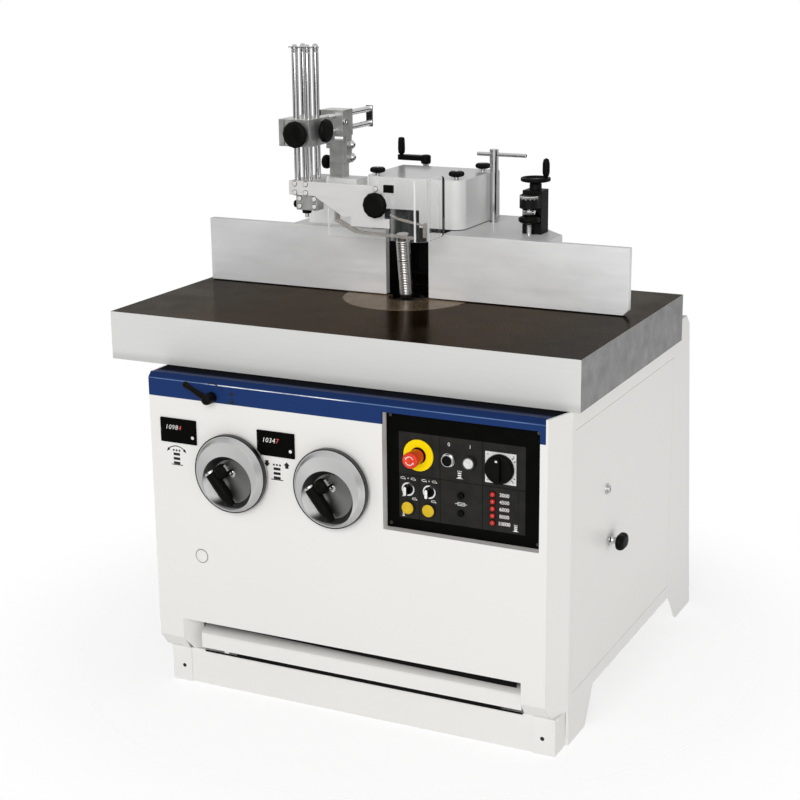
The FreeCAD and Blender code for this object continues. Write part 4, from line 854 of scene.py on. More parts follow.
def band_finish(colours, sizes):
    """Blue paint with painted shade toward the gap under the table and a painted highlight along the fold."""
    look = Finish("blue paint", 0.06)
    skin = look.effect("paint", Scale=2.2, Amount=0.05)
    place = look.parts(look.place())
    # Painted shade: above the fold the blue darkens to near black toward the gap under the table.
    gap_shade = look.between(place["Y"], spot(0, -430, 0).y, spot(0, -396, 0).y, 0.8, 0.02)
    fold = look.between(place["Z"], spot(0, 0, -128).z, spot(0, 0, -120).z, 1.0, 0.0)
    shade = look.most(gap_shade, fold)
    look.base = look.shaded(colours.blue_paint, skin["Tone"], shade)
    # Painted highlight: a pale broken line along the fold, strongest over the middle span.
    edge = look.box((-450, -441, -130.6), (560, -437.4, -128.5))
    streak = look.between(look.noise(3.0, 4.0, 0.6, (3.0, 0.1, 0.1)), 0.36, 0.5, 0.45, 1.0)
    bright = look.times(look.between(place["X"], spot(-310, 0, 0).x, spot(-230, 0, 0).x),
                        look.between(place["X"], spot(40, 0, 0).x, spot(110, 0, 0).x, 1.0, 0.0))
    fold_highlight = look.mixed(bright, (0.12, 0.20, 0.36), (0.85, 0.90, 0.95))
    look.cover(look.times(edge, streak), fold_highlight)
    rough = look.plus(look.between(skin["Tone"], 0.95, 1.05, 0.30, 0.42),
                      look.between(shade, 0.0, 0.6, 0.6, 0.0))
    return look.done(rough, height=skin["Peel"], bump=0.04, depth=0.0003)


def frame_finish(colours, sizes):
    """White paint with painted shade under the lip above the kick rail."""
    look = Finish("frame paint", 0.3)
    skin = look.effect("paint", Scale=2.2, Amount=0.018)
    look.base = look.shaded(colours.white_paint, skin["Tone"])
    look.rub(0.0022, 0.3, (0.77, 0.77, 0.76))
    # Painted shade: the paint darkens unevenly under the lip above the kick rail.
    recess = look.box((-383, -425, -768), (500, -300, -700))
    lip = look.parts(look.place())["Z"]
    lip_shade = look.between(lip, spot(0, 0, -768).z, spot(0, 0, -739).z, 1.0, 0.14)
    uneven = look.between(look.noise(9.0, 5.0, 0.6, (0.4, 1.0, 2.0)), 0.3, 0.7, -0.05, 0.05)
    look.cover(recess, look.shaded(look.base, look.plus(lip_shade, uneven)))
    look.dust(0.1, PAINT_DUST)
    rough = look.between(skin["Tone"], 0.98, 1.02, 0.30, 0.42)
    return look.done(rough, height=skin["Peel"], bump=0.05, depth=0.0003)


def fence_finish(colours, sizes):
    """Planed aluminium with faint clouds, long tool lines and painted light that grows toward the right."""
    look = Finish("fence aluminium", 0.35, Metallic=0.25)
    lines = look.effect("lines", Stretch=(0.6, 1.0, 9.0), Amount=0.05)
    cloud = look.between(look.noise(5.0, 5.0, 0.62, (1.0, 1.0, 2.2)), 0.3, 0.75, 0.94, 1.05)
    # Painted light: the fences get lighter toward the right end of the table.
    light_ramp = look.between(look.parts(look.place())["X"], table_low.x, table_high.x, 0.90, 1.04, False)
    look.base = look.shaded(colours.fence, lines["Tone"], cloud, light_ramp)
    look.rub(0.002, 0.5, (0.78, 0.78, 0.77))
    rough = look.between(lines["Height"], 0.3, 0.7, 0.38, 0.52)
    return look.done(rough, height=lines["Height"], bump=0.03, depth=0.0003)


def hood_base_finish(colours, sizes):
    """Pale casting whose cutter chamber is painted near black as shade, darkest low down."""
    look = Finish("hood casting", 0.35)
    skin = look.effect("cast", Scale=50.0, Amount=0.06)
    look.base = look.shaded(colours.hood_paint, skin["Tone"])
    look.dust(0.1, (0.50, 0.46, 0.40))
    # Painted shade: the cutter chamber is painted near black, darkest up to 72 mm above the table.
    chamber = look.box((-141, 86, -1), (61, 396, 156))
    chamber_shade_split = look.between(look.parts(look.place())["Z"], table_high.z + 0.072, table_high.z + 0.080, 0.0, 1.0)
    dark = look.mixed(chamber_shade_split, (0.0025, 0.0025, 0.0022), (0.010, 0.010, 0.009))
    look.cover(chamber, look.shaded(dark, skin["Tone"]))
    rough = look.between(chamber, 0.0, 1.0, 0.42, 0.85, False)
    return look.done(rough, height=skin["Height"], bump=0.05)


def hood_cover_finish(colours, sizes):
    """Gloss paint outside, painted shade inside and a dark line along the foot."""
    look = Finish("hood paint", 0.5)
    skin = look.effect("paint", Scale=4.0, Amount=0.02)
    look.base = look.shaded(colours.hood_paint, skin["Tone"])
    look.rub(0.0025, 0.4, (0.86, 0.86, 0.85))
    look.dust(0.08, (0.52, 0.48, 0.42))
    # Painted shade: faces that look into the cover are painted dark.
    out = look.vector("SUBTRACT", {0: look.place(), 1: spot(-47, 298, 200)})
    facing = look.vector("DOT_PRODUCT", {0: out, 1: look.normal()}, "Value")
    look.cover(look.calc("LESS_THAN", facing, -0.005), (0.03, 0.03, 0.028))
    look.cover(look.box((-190, 160, 150), (95, 435, 157.2)), (0.02, 0.02, 0.02))
    rough = look.between(skin["Tone"], 0.98, 1.02, 0.16, 0.24)
    return look.done(rough, height=skin["Peel"], bump=0.03, depth=0.0003)


def bare_cast(colours):
    """The colour of unpainted cast aluminium."""
    return [part * 0.9 for part in colours.casting]


def post_finish(colours, sizes):
    """Bare cast post on a painted stand."""
    look = Finish("post casting", 0.35)
    skin = look.effect("cast", Scale=60.0, Amount=0.14)
    bare = look.calc("GREATER_THAN", look.parts(look.place())["Z"], spot(0, 0, 273.4).z)
    look.base = look.shaded(look.mixed(bare, colours.hood_paint, bare_cast(colours)), skin["Tone"])
    look.rub(0.003, 0.4, (0.80, 0.80, 0.79))
    rough = look.between(skin["Height"], 0.3, 1.0, 0.26, 0.42)
    return look.done(rough, look.times(bare, 0.75), height=skin["Height"], bump=0.12, depth=0.0006)


def wheel_finish(name, centre, colours):
    """Silver lacquer with a black rim, painted shade in the bowl and next to the panel, and a pale painted
    highlight in the bowl.
    """
    look = Finish(name, 0.45, Anisotropic=0.65)
    out = look.vector("SUBTRACT", {0: look.place(), 1: centre})
    look.tree.links.new(look.vector("CROSS_PRODUCT", {0: out, 1: FRONT}), look.shader.inputs["Tangent"])
    lines = look.effect("lines", Stretch=(2.0, 2.0, 2.0), Amount=0.03)
    grain = look.effect("cast", Scale=500.0, Amount=0.05)
    look.base = look.shaded(colours.wheel, lines["Tone"], grain["Tone"])
    depth = look.parts(look.place())["Y"]
    # Painted shade: the bowl is painted darker than the face of the wheel.
    bowl_shade = look.times(look.ring(centre, 0.0895), look.between(depth, centre.y - 0.0337, centre.y - 0.0325))
    bowl_shade = look.times(bowl_shade, look.minus(1.0, look.ring(centre, 0.2, 0.0803)))
    look.cover(bowl_shade, (0.16, 0.16, 0.155))
    # Painted highlight: a pale, less metallic patch at the lower left of the bowl.
    bowl_highlight = look.between(look.radius(centre + Vector((-0.042, 0, -0.036))), 0.020, 0.042, 1.0, 0.0)
    bowl_highlight = look.times(bowl_shade, bowl_highlight)
    look.cover(bowl_highlight, (0.86, 0.86, 0.85))
    rim = look.ring(centre, 0.2, 0.0904)
    look.cover(look.times(rim, look.calc("LESS_THAN", depth, centre.y - 0.009)), (0.006, 0.006, 0.006))
    # Painted shade: the wheel is painted black within 6 mm of the panel, under the rim.
    look.cover(look.between(depth, centre.y - 0.0062, centre.y - 0.0058), (0.01, 0.01, 0.01))
    metallic = look.times(look.minus(1.0, rim), look.between(bowl_shade, 0.0, 1.0, 0.7, 0.9))
    metallic = look.times(metallic, look.between(bowl_highlight, 0.0, 1.0, 1.0, 0.1))
    rough = look.between(lines["Height"], 0.3, 0.7, 0.30, 0.42)
    return look.done(rough, metallic, height=grain["Height"], bump=0.03, depth=0.0002)


PANEL_GROOVES = (
    ((294.2, -395), (295.8, -185)), ((395.7, -395), (397.3, -185)), ((190, -289.8), (500, -288.2)),
    ((243.4, -395), (244.8, -289)), ((480.6, -389), (481.4, -292)),
)


def control_plate_finish(colours, sizes):
    """Dark tiles split by grooves, with the coloured discs and collars that stand on them."""
    look = Finish("control tiles", 0.08)
    skin = look.effect("moulded", Scale=700.0)
    look.base = look.shaded(colours.tile, skin["Tone"])
    grooves = look.most(*[look.box((low[0], -417.6, low[1]), (high[0], -416.0, high[1]))
                          for low, high in PANEL_GROOVES])
    look.cover(grooves, (0.0025, 0.0025, 0.0022))
    raised = look.box((150, -440, -420), (540, -417.3, -140))
    disc = look.ring(spot(STOP_PLACE[0], 0, STOP_PLACE[1]), 0.0365)
    look.cover(look.times(disc, raised), colours.yellow)
    look.cover(look.box((400, -440, -282), (480, -417.3, -206)), (0.72, 0.72, 0.70))
    collars = [STOP_BUTTON_PLACE] + [(x, SELECTOR_HEIGHT) for x in SELECTOR_PLACES]
    bright = look.most(*[look.ring(spot(x, 0, z), 0.0162) for x, z in collars])
    bright = look.times(bright, raised)
    look.cover(bright, colours.chrome)
    rough = look.between(bright, 0.0, 1.0, 0.46, 0.16, False)
    return look.done(rough, bright, height=skin["Height"], bump=0.05, depth=0.0002)


# The left cut edge, the two bend lines, the rear cut edge and its corner, right and back in millimetres
SHIELD_EDGES = (
    ((-166, -62), (-163.2, -50)), ((64.5, -62), (68.5, -50)), ((86, -40), (94, -32)),
    ((86, 47), (94, 58)), ((86, 38), (94, 58)),
)


def clear_finish(colours, sizes):
    """Clear bent sheet: nearly unseen faces, pale cut edges and bend lines, a dark rear edge."""
    look = Finish("clear sheet", 0.6, IOR=1.49)
    rim = look.between(look.calc("ABSOLUTE", look.parts(look.normal())["Z"]), 0.5, 0.8)
    left, bend_front, bend_side, rear, corner = (
        look.box((start[0], start[1], 150), (end[0], end[1], 320)) for start, end in SHIELD_EDGES)
    dark_edge = look.most(rear, look.times(corner, rim))
    pale = look.most(look.most(rim, left), look.most(bend_front, bend_side))
    scuff = look.between(look.noise(40.0, 5.0, 0.7, (1.0, 1.0, 0.3)), 0.4, 0.8, 0.015, 0.05)
    streak = look.between(look.noise(60.0, 3.0, 0.5, (1.0, 1.0, 0.02)), 0.56, 0.66, 0.0, 0.16)
    alpha = look.most(look.most(scuff, streak), look.times(pale, 0.85))
    alpha = look.most(alpha, look.times(dark_edge, 0.92))
    look.base = look.mixed(pale, (0.80, 0.83, 0.83), (0.90, 0.92, 0.91))
    low = look.calc("LESS_THAN", look.parts(look.place())["Z"], spot(0, 0, 175).z)
    look.cover(look.times(rim, low), (0.36, 0.31, 0.26))
    look.cover(dark_edge, (0.03, 0.03, 0.032))
    return look.done(look.between(scuff, 0.015, 0.05, 0.04, 0.12), alpha=alpha)


def shoe_finish(colours, sizes):
    """Smoky plastic strip that presses the work down."""
    look = Finish("smoky strip", 0.5)
    streak = look.effect("lines", Stretch=(2.0, 30.0, 30.0), Amount=0.12)
    look.base = look.shaded((0.36, 0.32, 0.275), streak["Tone"])
    rough = look.between(streak["Height"], 0.3, 0.7, 0.18, 0.34)
    alpha = look.between(streak["Height"], 0.3, 0.7, 0.62, 0.8)
    return look.done(rough, alpha=alpha, height=streak["Height"], bump=0.05)


def print_finish(name, tint):
    """Flat print."""
    return plastic_finish(name, tint, gloss=0.5, level=0.2, wear=0.0)


FINISHES = {
    "white": lambda c, s: paint_finish("white paint", c.white_paint),
    "frame": frame_finish,
    "blue": band_finish,
    "table": table_finish,
    "insert": insert_finish,
    "iron": lambda c, s: cast_finish("mechanism iron", c.iron, gloss=0.55),
    "motor": lambda c, s: paint_finish("motor paint", c.motor, gloss=0.4, amount=0.06),
    "belt": lambda c, s: plastic_finish("belt rubber", (0.012, 0.012, 0.012), gloss=0.7, scale=500.0,
                                        bump=0.2),
    "steel": lambda c, s: metal_finish("spindle steel", (0.52, 0.52, 0.52), gloss=0.17,
                                       stretch=(1.0, 1.0, 30.0), bump=0.01),
    "bezel": lambda c, s: plastic_finish("gloss black", c.bezel, gloss=0.4, level=0.03, wear=0.12,
                                         bump=0.015),
    "tile": control_plate_finish,
    "red": lambda c, s: plastic_finish("red plastic", c.red, gloss=0.3, level=0.2, wear=0.1, bump=0.02),
    "pale_cap": lambda c, s: plastic_finish("pale cap", (0.70, 0.70, 0.69), gloss=0.3, level=0.4, bump=0.02),
    "jog": lambda c, s: plastic_finish("yellow plastic", c.jog, gloss=0.35, level=0.15, wear=0.1, bump=0.02),
    "lamp": lambda c, s: plastic_finish("red lens", (0.55, 0.018, 0.010), gloss=0.10, level=0.6, bump=0.01),
    "black": lambda c, s: plastic_finish("black plastic", c.black, level=0.06),
    "grip": lambda c, s: plastic_finish("black grip", c.black, gloss=0.5, level=0.04, scale=650.0, bump=0.12),
    "casting": lambda c, s: cast_finish("cast aluminium", bare_cast(c), gloss=0.32, metallic=0.75,
                                        amount=0.14),
    "post": post_finish,
    "hood_base": hood_base_finish,
    "hood_cover": hood_cover_finish,
    "fence": fence_finish,
    "dark_screw": lambda c, s: metal_finish("dark screw", (0.12, 0.12, 0.12)),
    "black_cast": lambda c, s: cast_finish("black casting", (0.005, 0.005, 0.005), gloss=0.45, amount=0.2,
                                           dust=0.015, level=0.10),
    "chrome": lambda c, s: metal_finish("chrome", [part * 0.66 for part in c.chrome], gloss=0.13, amount=0.03,
                                        bump=0.006, wear=0.1),
    "plate": lambda c, s: metal_finish("guard plate steel", c.plate, gloss=0.42, metallic=0.3,
                                       stretch=(1.0, 1.0, 30.0), amount=0.03, bump=0.03),
    "clear": clear_finish,
    "shoe": shoe_finish,
    "print_white": lambda c, s: print_finish("white print", c.print_white),
    "print_black": lambda c, s: print_finish("black print", (0.012, 0.012, 0.014)),
    "print_red": lambda c, s: print_finish("red print", (0.62, 0.10, 0.09)),
    "ring_grey": lambda c, s: paint_finish("grey line", (0.28, 0.28, 0.27), wear=0.0, dust=0.0),
}
finishes = {}


def finish(key):
    """A shared finish, made the first time that a piece asks for it."""
    if key not in finishes:
        scene = bpy.context.scene
        finishes[key] = FINISHES[key](scene.moulder_colours, scene.moulder_sizes)
    return finishes[key]


def socket_screw(shape, place, axis, radius, height):
    """A cap screw with a dished dark socket."""
    profile = softened([(0, height * 0.35), (radius * 0.45, height * 0.35), (radius * 0.52, height),
                        (radius * 0.95, height), (radius, height * 0.7), (radius, 0)], 0.15 * radius, 2)
    # Painted shade: the middle of the shallow dish takes the second, dark finish in place of a deep socket.
    for face in shape.turn(place, axis, profile, 24, cap=False):
        reach = face.calc_center_median() - place
        reach -= axis * reach.dot(axis)
        if reach.length < radius * 0.47 * MM:
            face.material_index = 1


def dome_screw(shape, place, axis, radius, height):
    """A domed screw head on a thin washer."""
    profile = softened([(radius * 1.35, 0), (radius * 1.35, height * 0.25), (radius, height * 0.3),
                        (radius * 0.9, height * 0.8), (radius * 0.5, height), (0, height)], 0.2 * radius, 3)
    shape.turn(place, axis, profile, 28)


PLINTH_HOLES = ((-396.5, -418, -860), (543, -418, -861))
PLUG_PLACE = (-318.8, FRONT_FACE, -556)
LATCH_PLACE = (580, -124, -361)
# Outline of a black strip of painted shade under the lip above the kick rail, right and up in millimetres
RECESS_SHADOW = [(-376, -738), (-370, -727), (478, -727), (478, -754), (90, -748)]
# Start, end and height of the black strips of painted shade in the slot under the kick rail
SLOT_SHADE_STRIPS = ((-243, 443, 9.5), (-333, -243, 4.5), (443, 496, 4.5))
SLOT_FOOT = -811


class MOULDER_OT_cabinet(bpy.types.Operator):
    """Paints the cabinet, band and door, adds their small fittings and puts black strips of painted shade in
    the kick recess
    """
    bl_idname = "moulder.cabinet"
    bl_label = "Cabinet"

    def execute(self, context):
        rounding = context.scene.moulder_sizes.sheet_rounding
        dress("base_frame", "frame", rounding)
        for node in ("front_panel", "left_panel", "right_panel", "rear_panel", "side_door"):
            dress(node, "white", rounding)
        dress("top_band", "blue", rounding * 2.2, 3)

        shape = Shape()
        # Painted shade: each plinth hole is a black disc inside a white rim.
        hole = [(0, 0.15), (4.6, 0.15), (5.0, 0.4), (5.6, 0.4), (6.0, 0.05)]
        for corner in PLINTH_HOLES:
            place = spot(*corner)
            for face in shape.turn(place, FRONT, hole, 24, 1, cap=False):
                if (face.calc_center_median() - place).length < 4.8 * MM:
                    face.material_index = 0
        shape.piece("plinth_holes", "cabinet", ("print_black", "white"))

        shape = Shape()
        place = spot(*PLUG_PLACE)
        plug = [(0, 0.4), (15.2, 0.5), (15.8, 0.15), (16.6, 0.15), (17.2, 0.55), (17.6, 0.05)]
        for face in shape.turn(place, FRONT, plug, 48, cap=False):
            middle = face.calc_center_median() - place
            if math.hypot(middle.x, middle.z) > 15 * MM:
                face.material_index = 1
        shape.piece("front_plug", "cabinet", ("white", "ring_grey"))

        # Black strips of painted shade: one under the lip above the kick rail and three in the slot below the
        # rail.
        shape = Shape()
        shape.press(RECESS_SHADOW, spot(0, -411, 0), 1.0)
        for start, end, height in SLOT_SHADE_STRIPS:
            shape.brick((start, -420.6, SLOT_FOOT), (end, -419.6, SLOT_FOOT + height))
        shape.piece("recess_shade_strips", "cabinet", ("black",))

        shape = Shape()
        latch = [(0, 6), (2.2, 6), (2.2, 8), (8.4, 8), (9, 7.4), (9, 3), (12.5, 3), (13, 2), (13, 0)]
        shape.turn(spot(*LATCH_PLACE), RIGHT, softened(latch, 0.5), 40, cap=False)
        shape.press([(-1, -6), (1, -6), (1, 6), (-1, 6)], spot(587.7, *LATCH_PLACE[1:]), 0.6, 1, BACK, UP)
        shape.piece("side_latch", "door", ("chrome", "print_black"), rounding=0.3)
        return {"FINISHED"}


class MOULDER_OT_door_knob(bpy.types.Operator):
    """Builds the wing knob of the side door"""
    bl_idname = "moulder.door_knob"
    bl_label = "Door knob"

    def execute(self, context):
        shape = Shape()
        place = spot(580, -92, -495)
        neck = [(13, 0), (13, 2), (9, 4), (7.6, 9), (8.5, 19), (12, 24), (0, 24)]
        shape.turn(place, RIGHT, softened(neck, 1.5), 40, 1, cap=False)

        def wing(angle):
            return 0.62 + 0.38 * abs(math.sin(angle - math.pi / 2)) ** 1.6

        shell = [(0, 17), (17, 17.5), (26, 20.5), (28.6, 26), (27.5, 33), (21, 38), (0, 40)]
        shape.turn(place, RIGHT, softened(shell, 3.5, 4), 72, 0, wing)
        shape.piece("wing_knob", "door_handle", ("black", "chrome"), "door_knob", sharp=50.0)
        return {"FINISHED"}


TABLE_HOLES = ((-124, -187), (42, -273), (71, -297), (230, -186))


class MOULDER_OT_table(bpy.types.Operator):
    """Finishes the table and its insert and adds the tapped holes"""
    bl_idname = "moulder.table"
    bl_label = "Table"

    def execute(self, context):
        dress("table", "table", 0.0015)
        dress("table_insert", "insert", 0.0006)
        shape = Shape()
        # Painted shade: each tapped hole is a flat black disc with a ring on the table top.
        hole = [(0, 0.02), (3.6, 0.02), (4.4, 0.10), (5.2, 0.02)]
        for x, y in TABLE_HOLES:
            shape.turn(spot(x, y, 0.02), UP, hole, 24, cap=False)
        shape.piece("tapped_holes", "cabinet", ("print_black",))
        return {"FINISHED"}


SPINDLE_LEAN = math.radians(8)
SPINDLE_PLACE = (-17, 67, 0)
RING_FOOT = 12.0
RING_HEIGHTS = (30.0, 20.0, 40.0, 15.0, 30.0)
RING_BORE = 14.1
RING_RADIUS = 17.5
RING_CHAMFER = 16.6


class MOULDER_OT_spindle(bpy.types.Operator):
    """Finishes the tilting spindle, its rings and the drive below"""
    bl_idname = "moulder.spindle"
    bl_label = "Spindle and drive"

    def execute(self, context):
        for node in ("trunnion_guides", "tilt_carriage", "quill_slide"):
            dress(node, "iron", 0.001)
        dress("motor", "motor", 0.002)
        dress("motor_rotor", "steel", 0.001)
        dress("drive_belt", "belt")
        dress("spindle_shaft", "steel", 0.0008)
        axis = Vector((0, -math.sin(SPINDLE_LEAN), math.cos(SPINDLE_LEAN)))
        shape = Shape()
        low = RING_FOOT
        for ring in RING_HEIGHTS:
            high = low + ring
            profile = [(RING_BORE, low + 0.1), (RING_CHAMFER, low + 0.1), (RING_RADIUS, low + 1.0)]
            step = low + 3.5
            while step < high - 3.0:
                profile += [(RING_RADIUS, step - 0.35), (17.1, step), (RING_RADIUS, step + 0.35)]
                step += 4.2
            profile += [(RING_RADIUS, high - 1.0), (RING_CHAMFER, high - 0.1), (RING_BORE, high - 0.1)]
            shape.turn(spot(*SPINDLE_PLACE), axis, profile, 64, cap=False)
            low = high
        shape.piece("spindle_rings", "spindle", ("steel",), "spacer_rings", sharp=50.0)
        return {"FINISHED"}


def stack_sign(shape, place, width):
    """The sign of a cutter stack on a table line, about the middle of that line."""
    unit = width / 32.0
    bars = [(0, 0, 16, 2.2)] + [(0, height, 9, 6.4) for height in (4.5, 15, 26)]
    for middle, height, half, thick in bars + [(across, 35.5, 2.4, 4.4) for across in (-8, 0, 8)]:
        ends = [((middle - half) * unit, height * unit), ((middle + half) * unit, height * unit)]
        shape.stroke(ends, thick * unit, place)


def arrow_head(shape, tip, heading, length, width, place, index=0):
    """A flat arrow head whose tip and heading, in degrees, lie in the printed face."""
    way = Vector((math.cos(math.radians(heading)), math.sin(math.radians(heading))))
    out = Vector((-way.y, way.x)) * (width / 2)
    root = Vector(tip) - way * length
    shape.patch([tuple(tip), tuple(root + out), tuple(root - out)], place, index)


def oval_points(half_width, half_height, start, end, step=20):
    """Points on an oval, with angles in whole degrees."""
    return [(half_width * math.cos(math.radians(angle)), half_height * math.sin(math.radians(angle)))
            for angle in range(start, end, step)]


def turn_sign(shape, place, width):
    """A flat oval ring with an arrow head, for the way the spindle turns."""
    shape.stroke(oval_points(width / 2, width / 5, 40, 341), width * 0.09, place)
    arrow_head(shape, (width * 0.56, 0.02 * width), 70, width * 0.3, width * 0.26, place)


SPEEDS = ("3000", "4500", "6000", "8000", "10000")
START_X = 367.1
FUSE_X = 346
# Right, up and width of the cutter stack signs on the control plate
PLATE_STACKS = ((342, -281, 15), (475, -384, 13), (205.5, -340, 8), (205.5, -386, 8))


class MOULDER_OT_control_panel(bpy.types.Operator):
    """Finishes the control frame and adds its screws, lamps, fuse caps, numbers and signs"""
    bl_idname = "moulder.control_panel"
    bl_label = "Control panel"

    def execute(self, context):
        sizes = context.scene.moulder_sizes
        dress("control_bezel", "bezel", 0.0008, merge=False)
        dress("control_plate", "tile")
        self.frame_screws()
        self.speed_lamps(sizes.lamp_pitch / MM, sizes.lamp_radius / MM)
        self.fuse_caps()
        self.plate_print(sizes.lamp_pitch / MM, sizes.number_height)
        self.switch_print()
        return {"FINISHED"}

    def frame_screws(self):
        shape = Shape()
        for x in (175.5, 527.5):
            for z in (-154.5, -405.5):
                socket_screw(shape, spot(x, BEZEL_FACE, z), FRONT, 3.6, 1.4)
        shape.piece("frame_screws", "cabinet", ("dark_screw", "print_black"))

    def fuse_caps(self):
        shape = Shape()
        cap = softened([(8, 0), (8, 5.6), (7.2, 8), (3.4, 8), (2.8, 6.2), (0, 6.2)], 0.8)
        for z in (-319.3, -360):
            shape.turn(spot(FUSE_X, PANEL_FACE, z), FRONT, cap, 48, 0, lobed(8, 0.035), cap=False)
        shape.piece("fuse_tops", "cabinet", ("black",), "fuse_caps", sharp=45.0)

    def speed_lamps(self, pitch, radius):
        shape = Shape()
        collar = [(radius + 1.2, 0), (radius + 1.2, 1.0), (radius + 0.3, 1.5), (radius, 1.2)]
        dome = [(out, 1.2 + height) for out, height in oval_points(radius, 6.2, 0, 90, 15)] + [(0, 7.4)]
        for number in range(len(SPEEDS)):
            place = spot(421, PANEL_FACE, SPEED_LAMP_TOP - pitch * number)
            shape.turn(place, FRONT, collar, 32, 1, cap=False)
            shape.turn(place, FRONT, dome, 32, cap=False)
        shape.piece("speed_lamps", "cabinet", ("lamp", "bezel"), sharp=50.0)

    def plate_print(self, pitch, number_height):
        shape = Shape()
        face = PANEL_FACE - PRINT_GAP
        for number, speed in enumerate(SPEEDS):
            shape.letters(speed, number_height, spot(448, face, SPEED_LAMP_TOP - pitch * number), bold=0.025)
        shape.stroke(oval_points(2.2, 3.6, 0, 361), 1.1, spot(STOP_BUTTON_PLACE[0], face, -206))
        shape.stroke([(0, -3.8), (0, 3.8)], 1.2, spot(START_X, face, -206))
        for x, z, width in PLATE_STACKS:
            stack_sign(shape, spot(x, face, z), width)
        for x in (217.0, 268.5):
            for across in (-12.5, 12.5):
                turn_sign(shape, spot(x + across, face, -297), 11)
            shape.patch([(-1.6, -1.2), (1.6, -1.2), (0, 2.2)], spot(x, face, -297))
        for x in (232.5, 279.0):
            turn_sign(shape, spot(x, face, -343), 11)
        fuse = spot(FUSE_X, face, -339.6)
        outline = rounded_outline(17, 6.4, 0.4, 1)
        shape.stroke(outline + outline[:1], 1.1, fuse)
        shape.stroke([(-14, 0), (14, 0)], 1.0, fuse)
        shape.piece("panel_marks", "cabinet", ("print_white",))

    def switch_print(self):
        shape = Shape()
        mark = spot(MAINS_PLACE[0], -420 - PRINT_GAP, MAINS_PLACE[1])
        for tilt in (35, -38):
            for angle in (math.radians(tilt - 6), math.radians(tilt + 6)):
                way = Vector((math.cos(angle), math.sin(angle)))
                shape.stroke([tuple(way * 35.2), tuple(way * 40.5)], 1.7, mark)
        for x, z in ((-30, 29), (30, 29), (-30, -29), (30, -29)):
            shape.stroke(arc_points(1.5, 0, 360, 10, x, z), 0.7, mark)
        shape.piece("switch_marks", "cabinet", ("print_black",))


BUTTON_ROOT = -14
# Name, body, node, place across, height of the crown, finishes and slot
PRESS_BUTTONS = (
    ("stop_cap", "stop", "stop_button", STOP_BUTTON_PLACE[0], 8.5, ("black", "chrome"), "black_plastic"),
    ("start_cap", "start", "start_button", START_X, 11.6, ("pale_cap", "dark_screw"), "white_plastic"),
)
# Side and place across
JOG_BUTTONS = (("left", 217.8), ("right", 268.2))


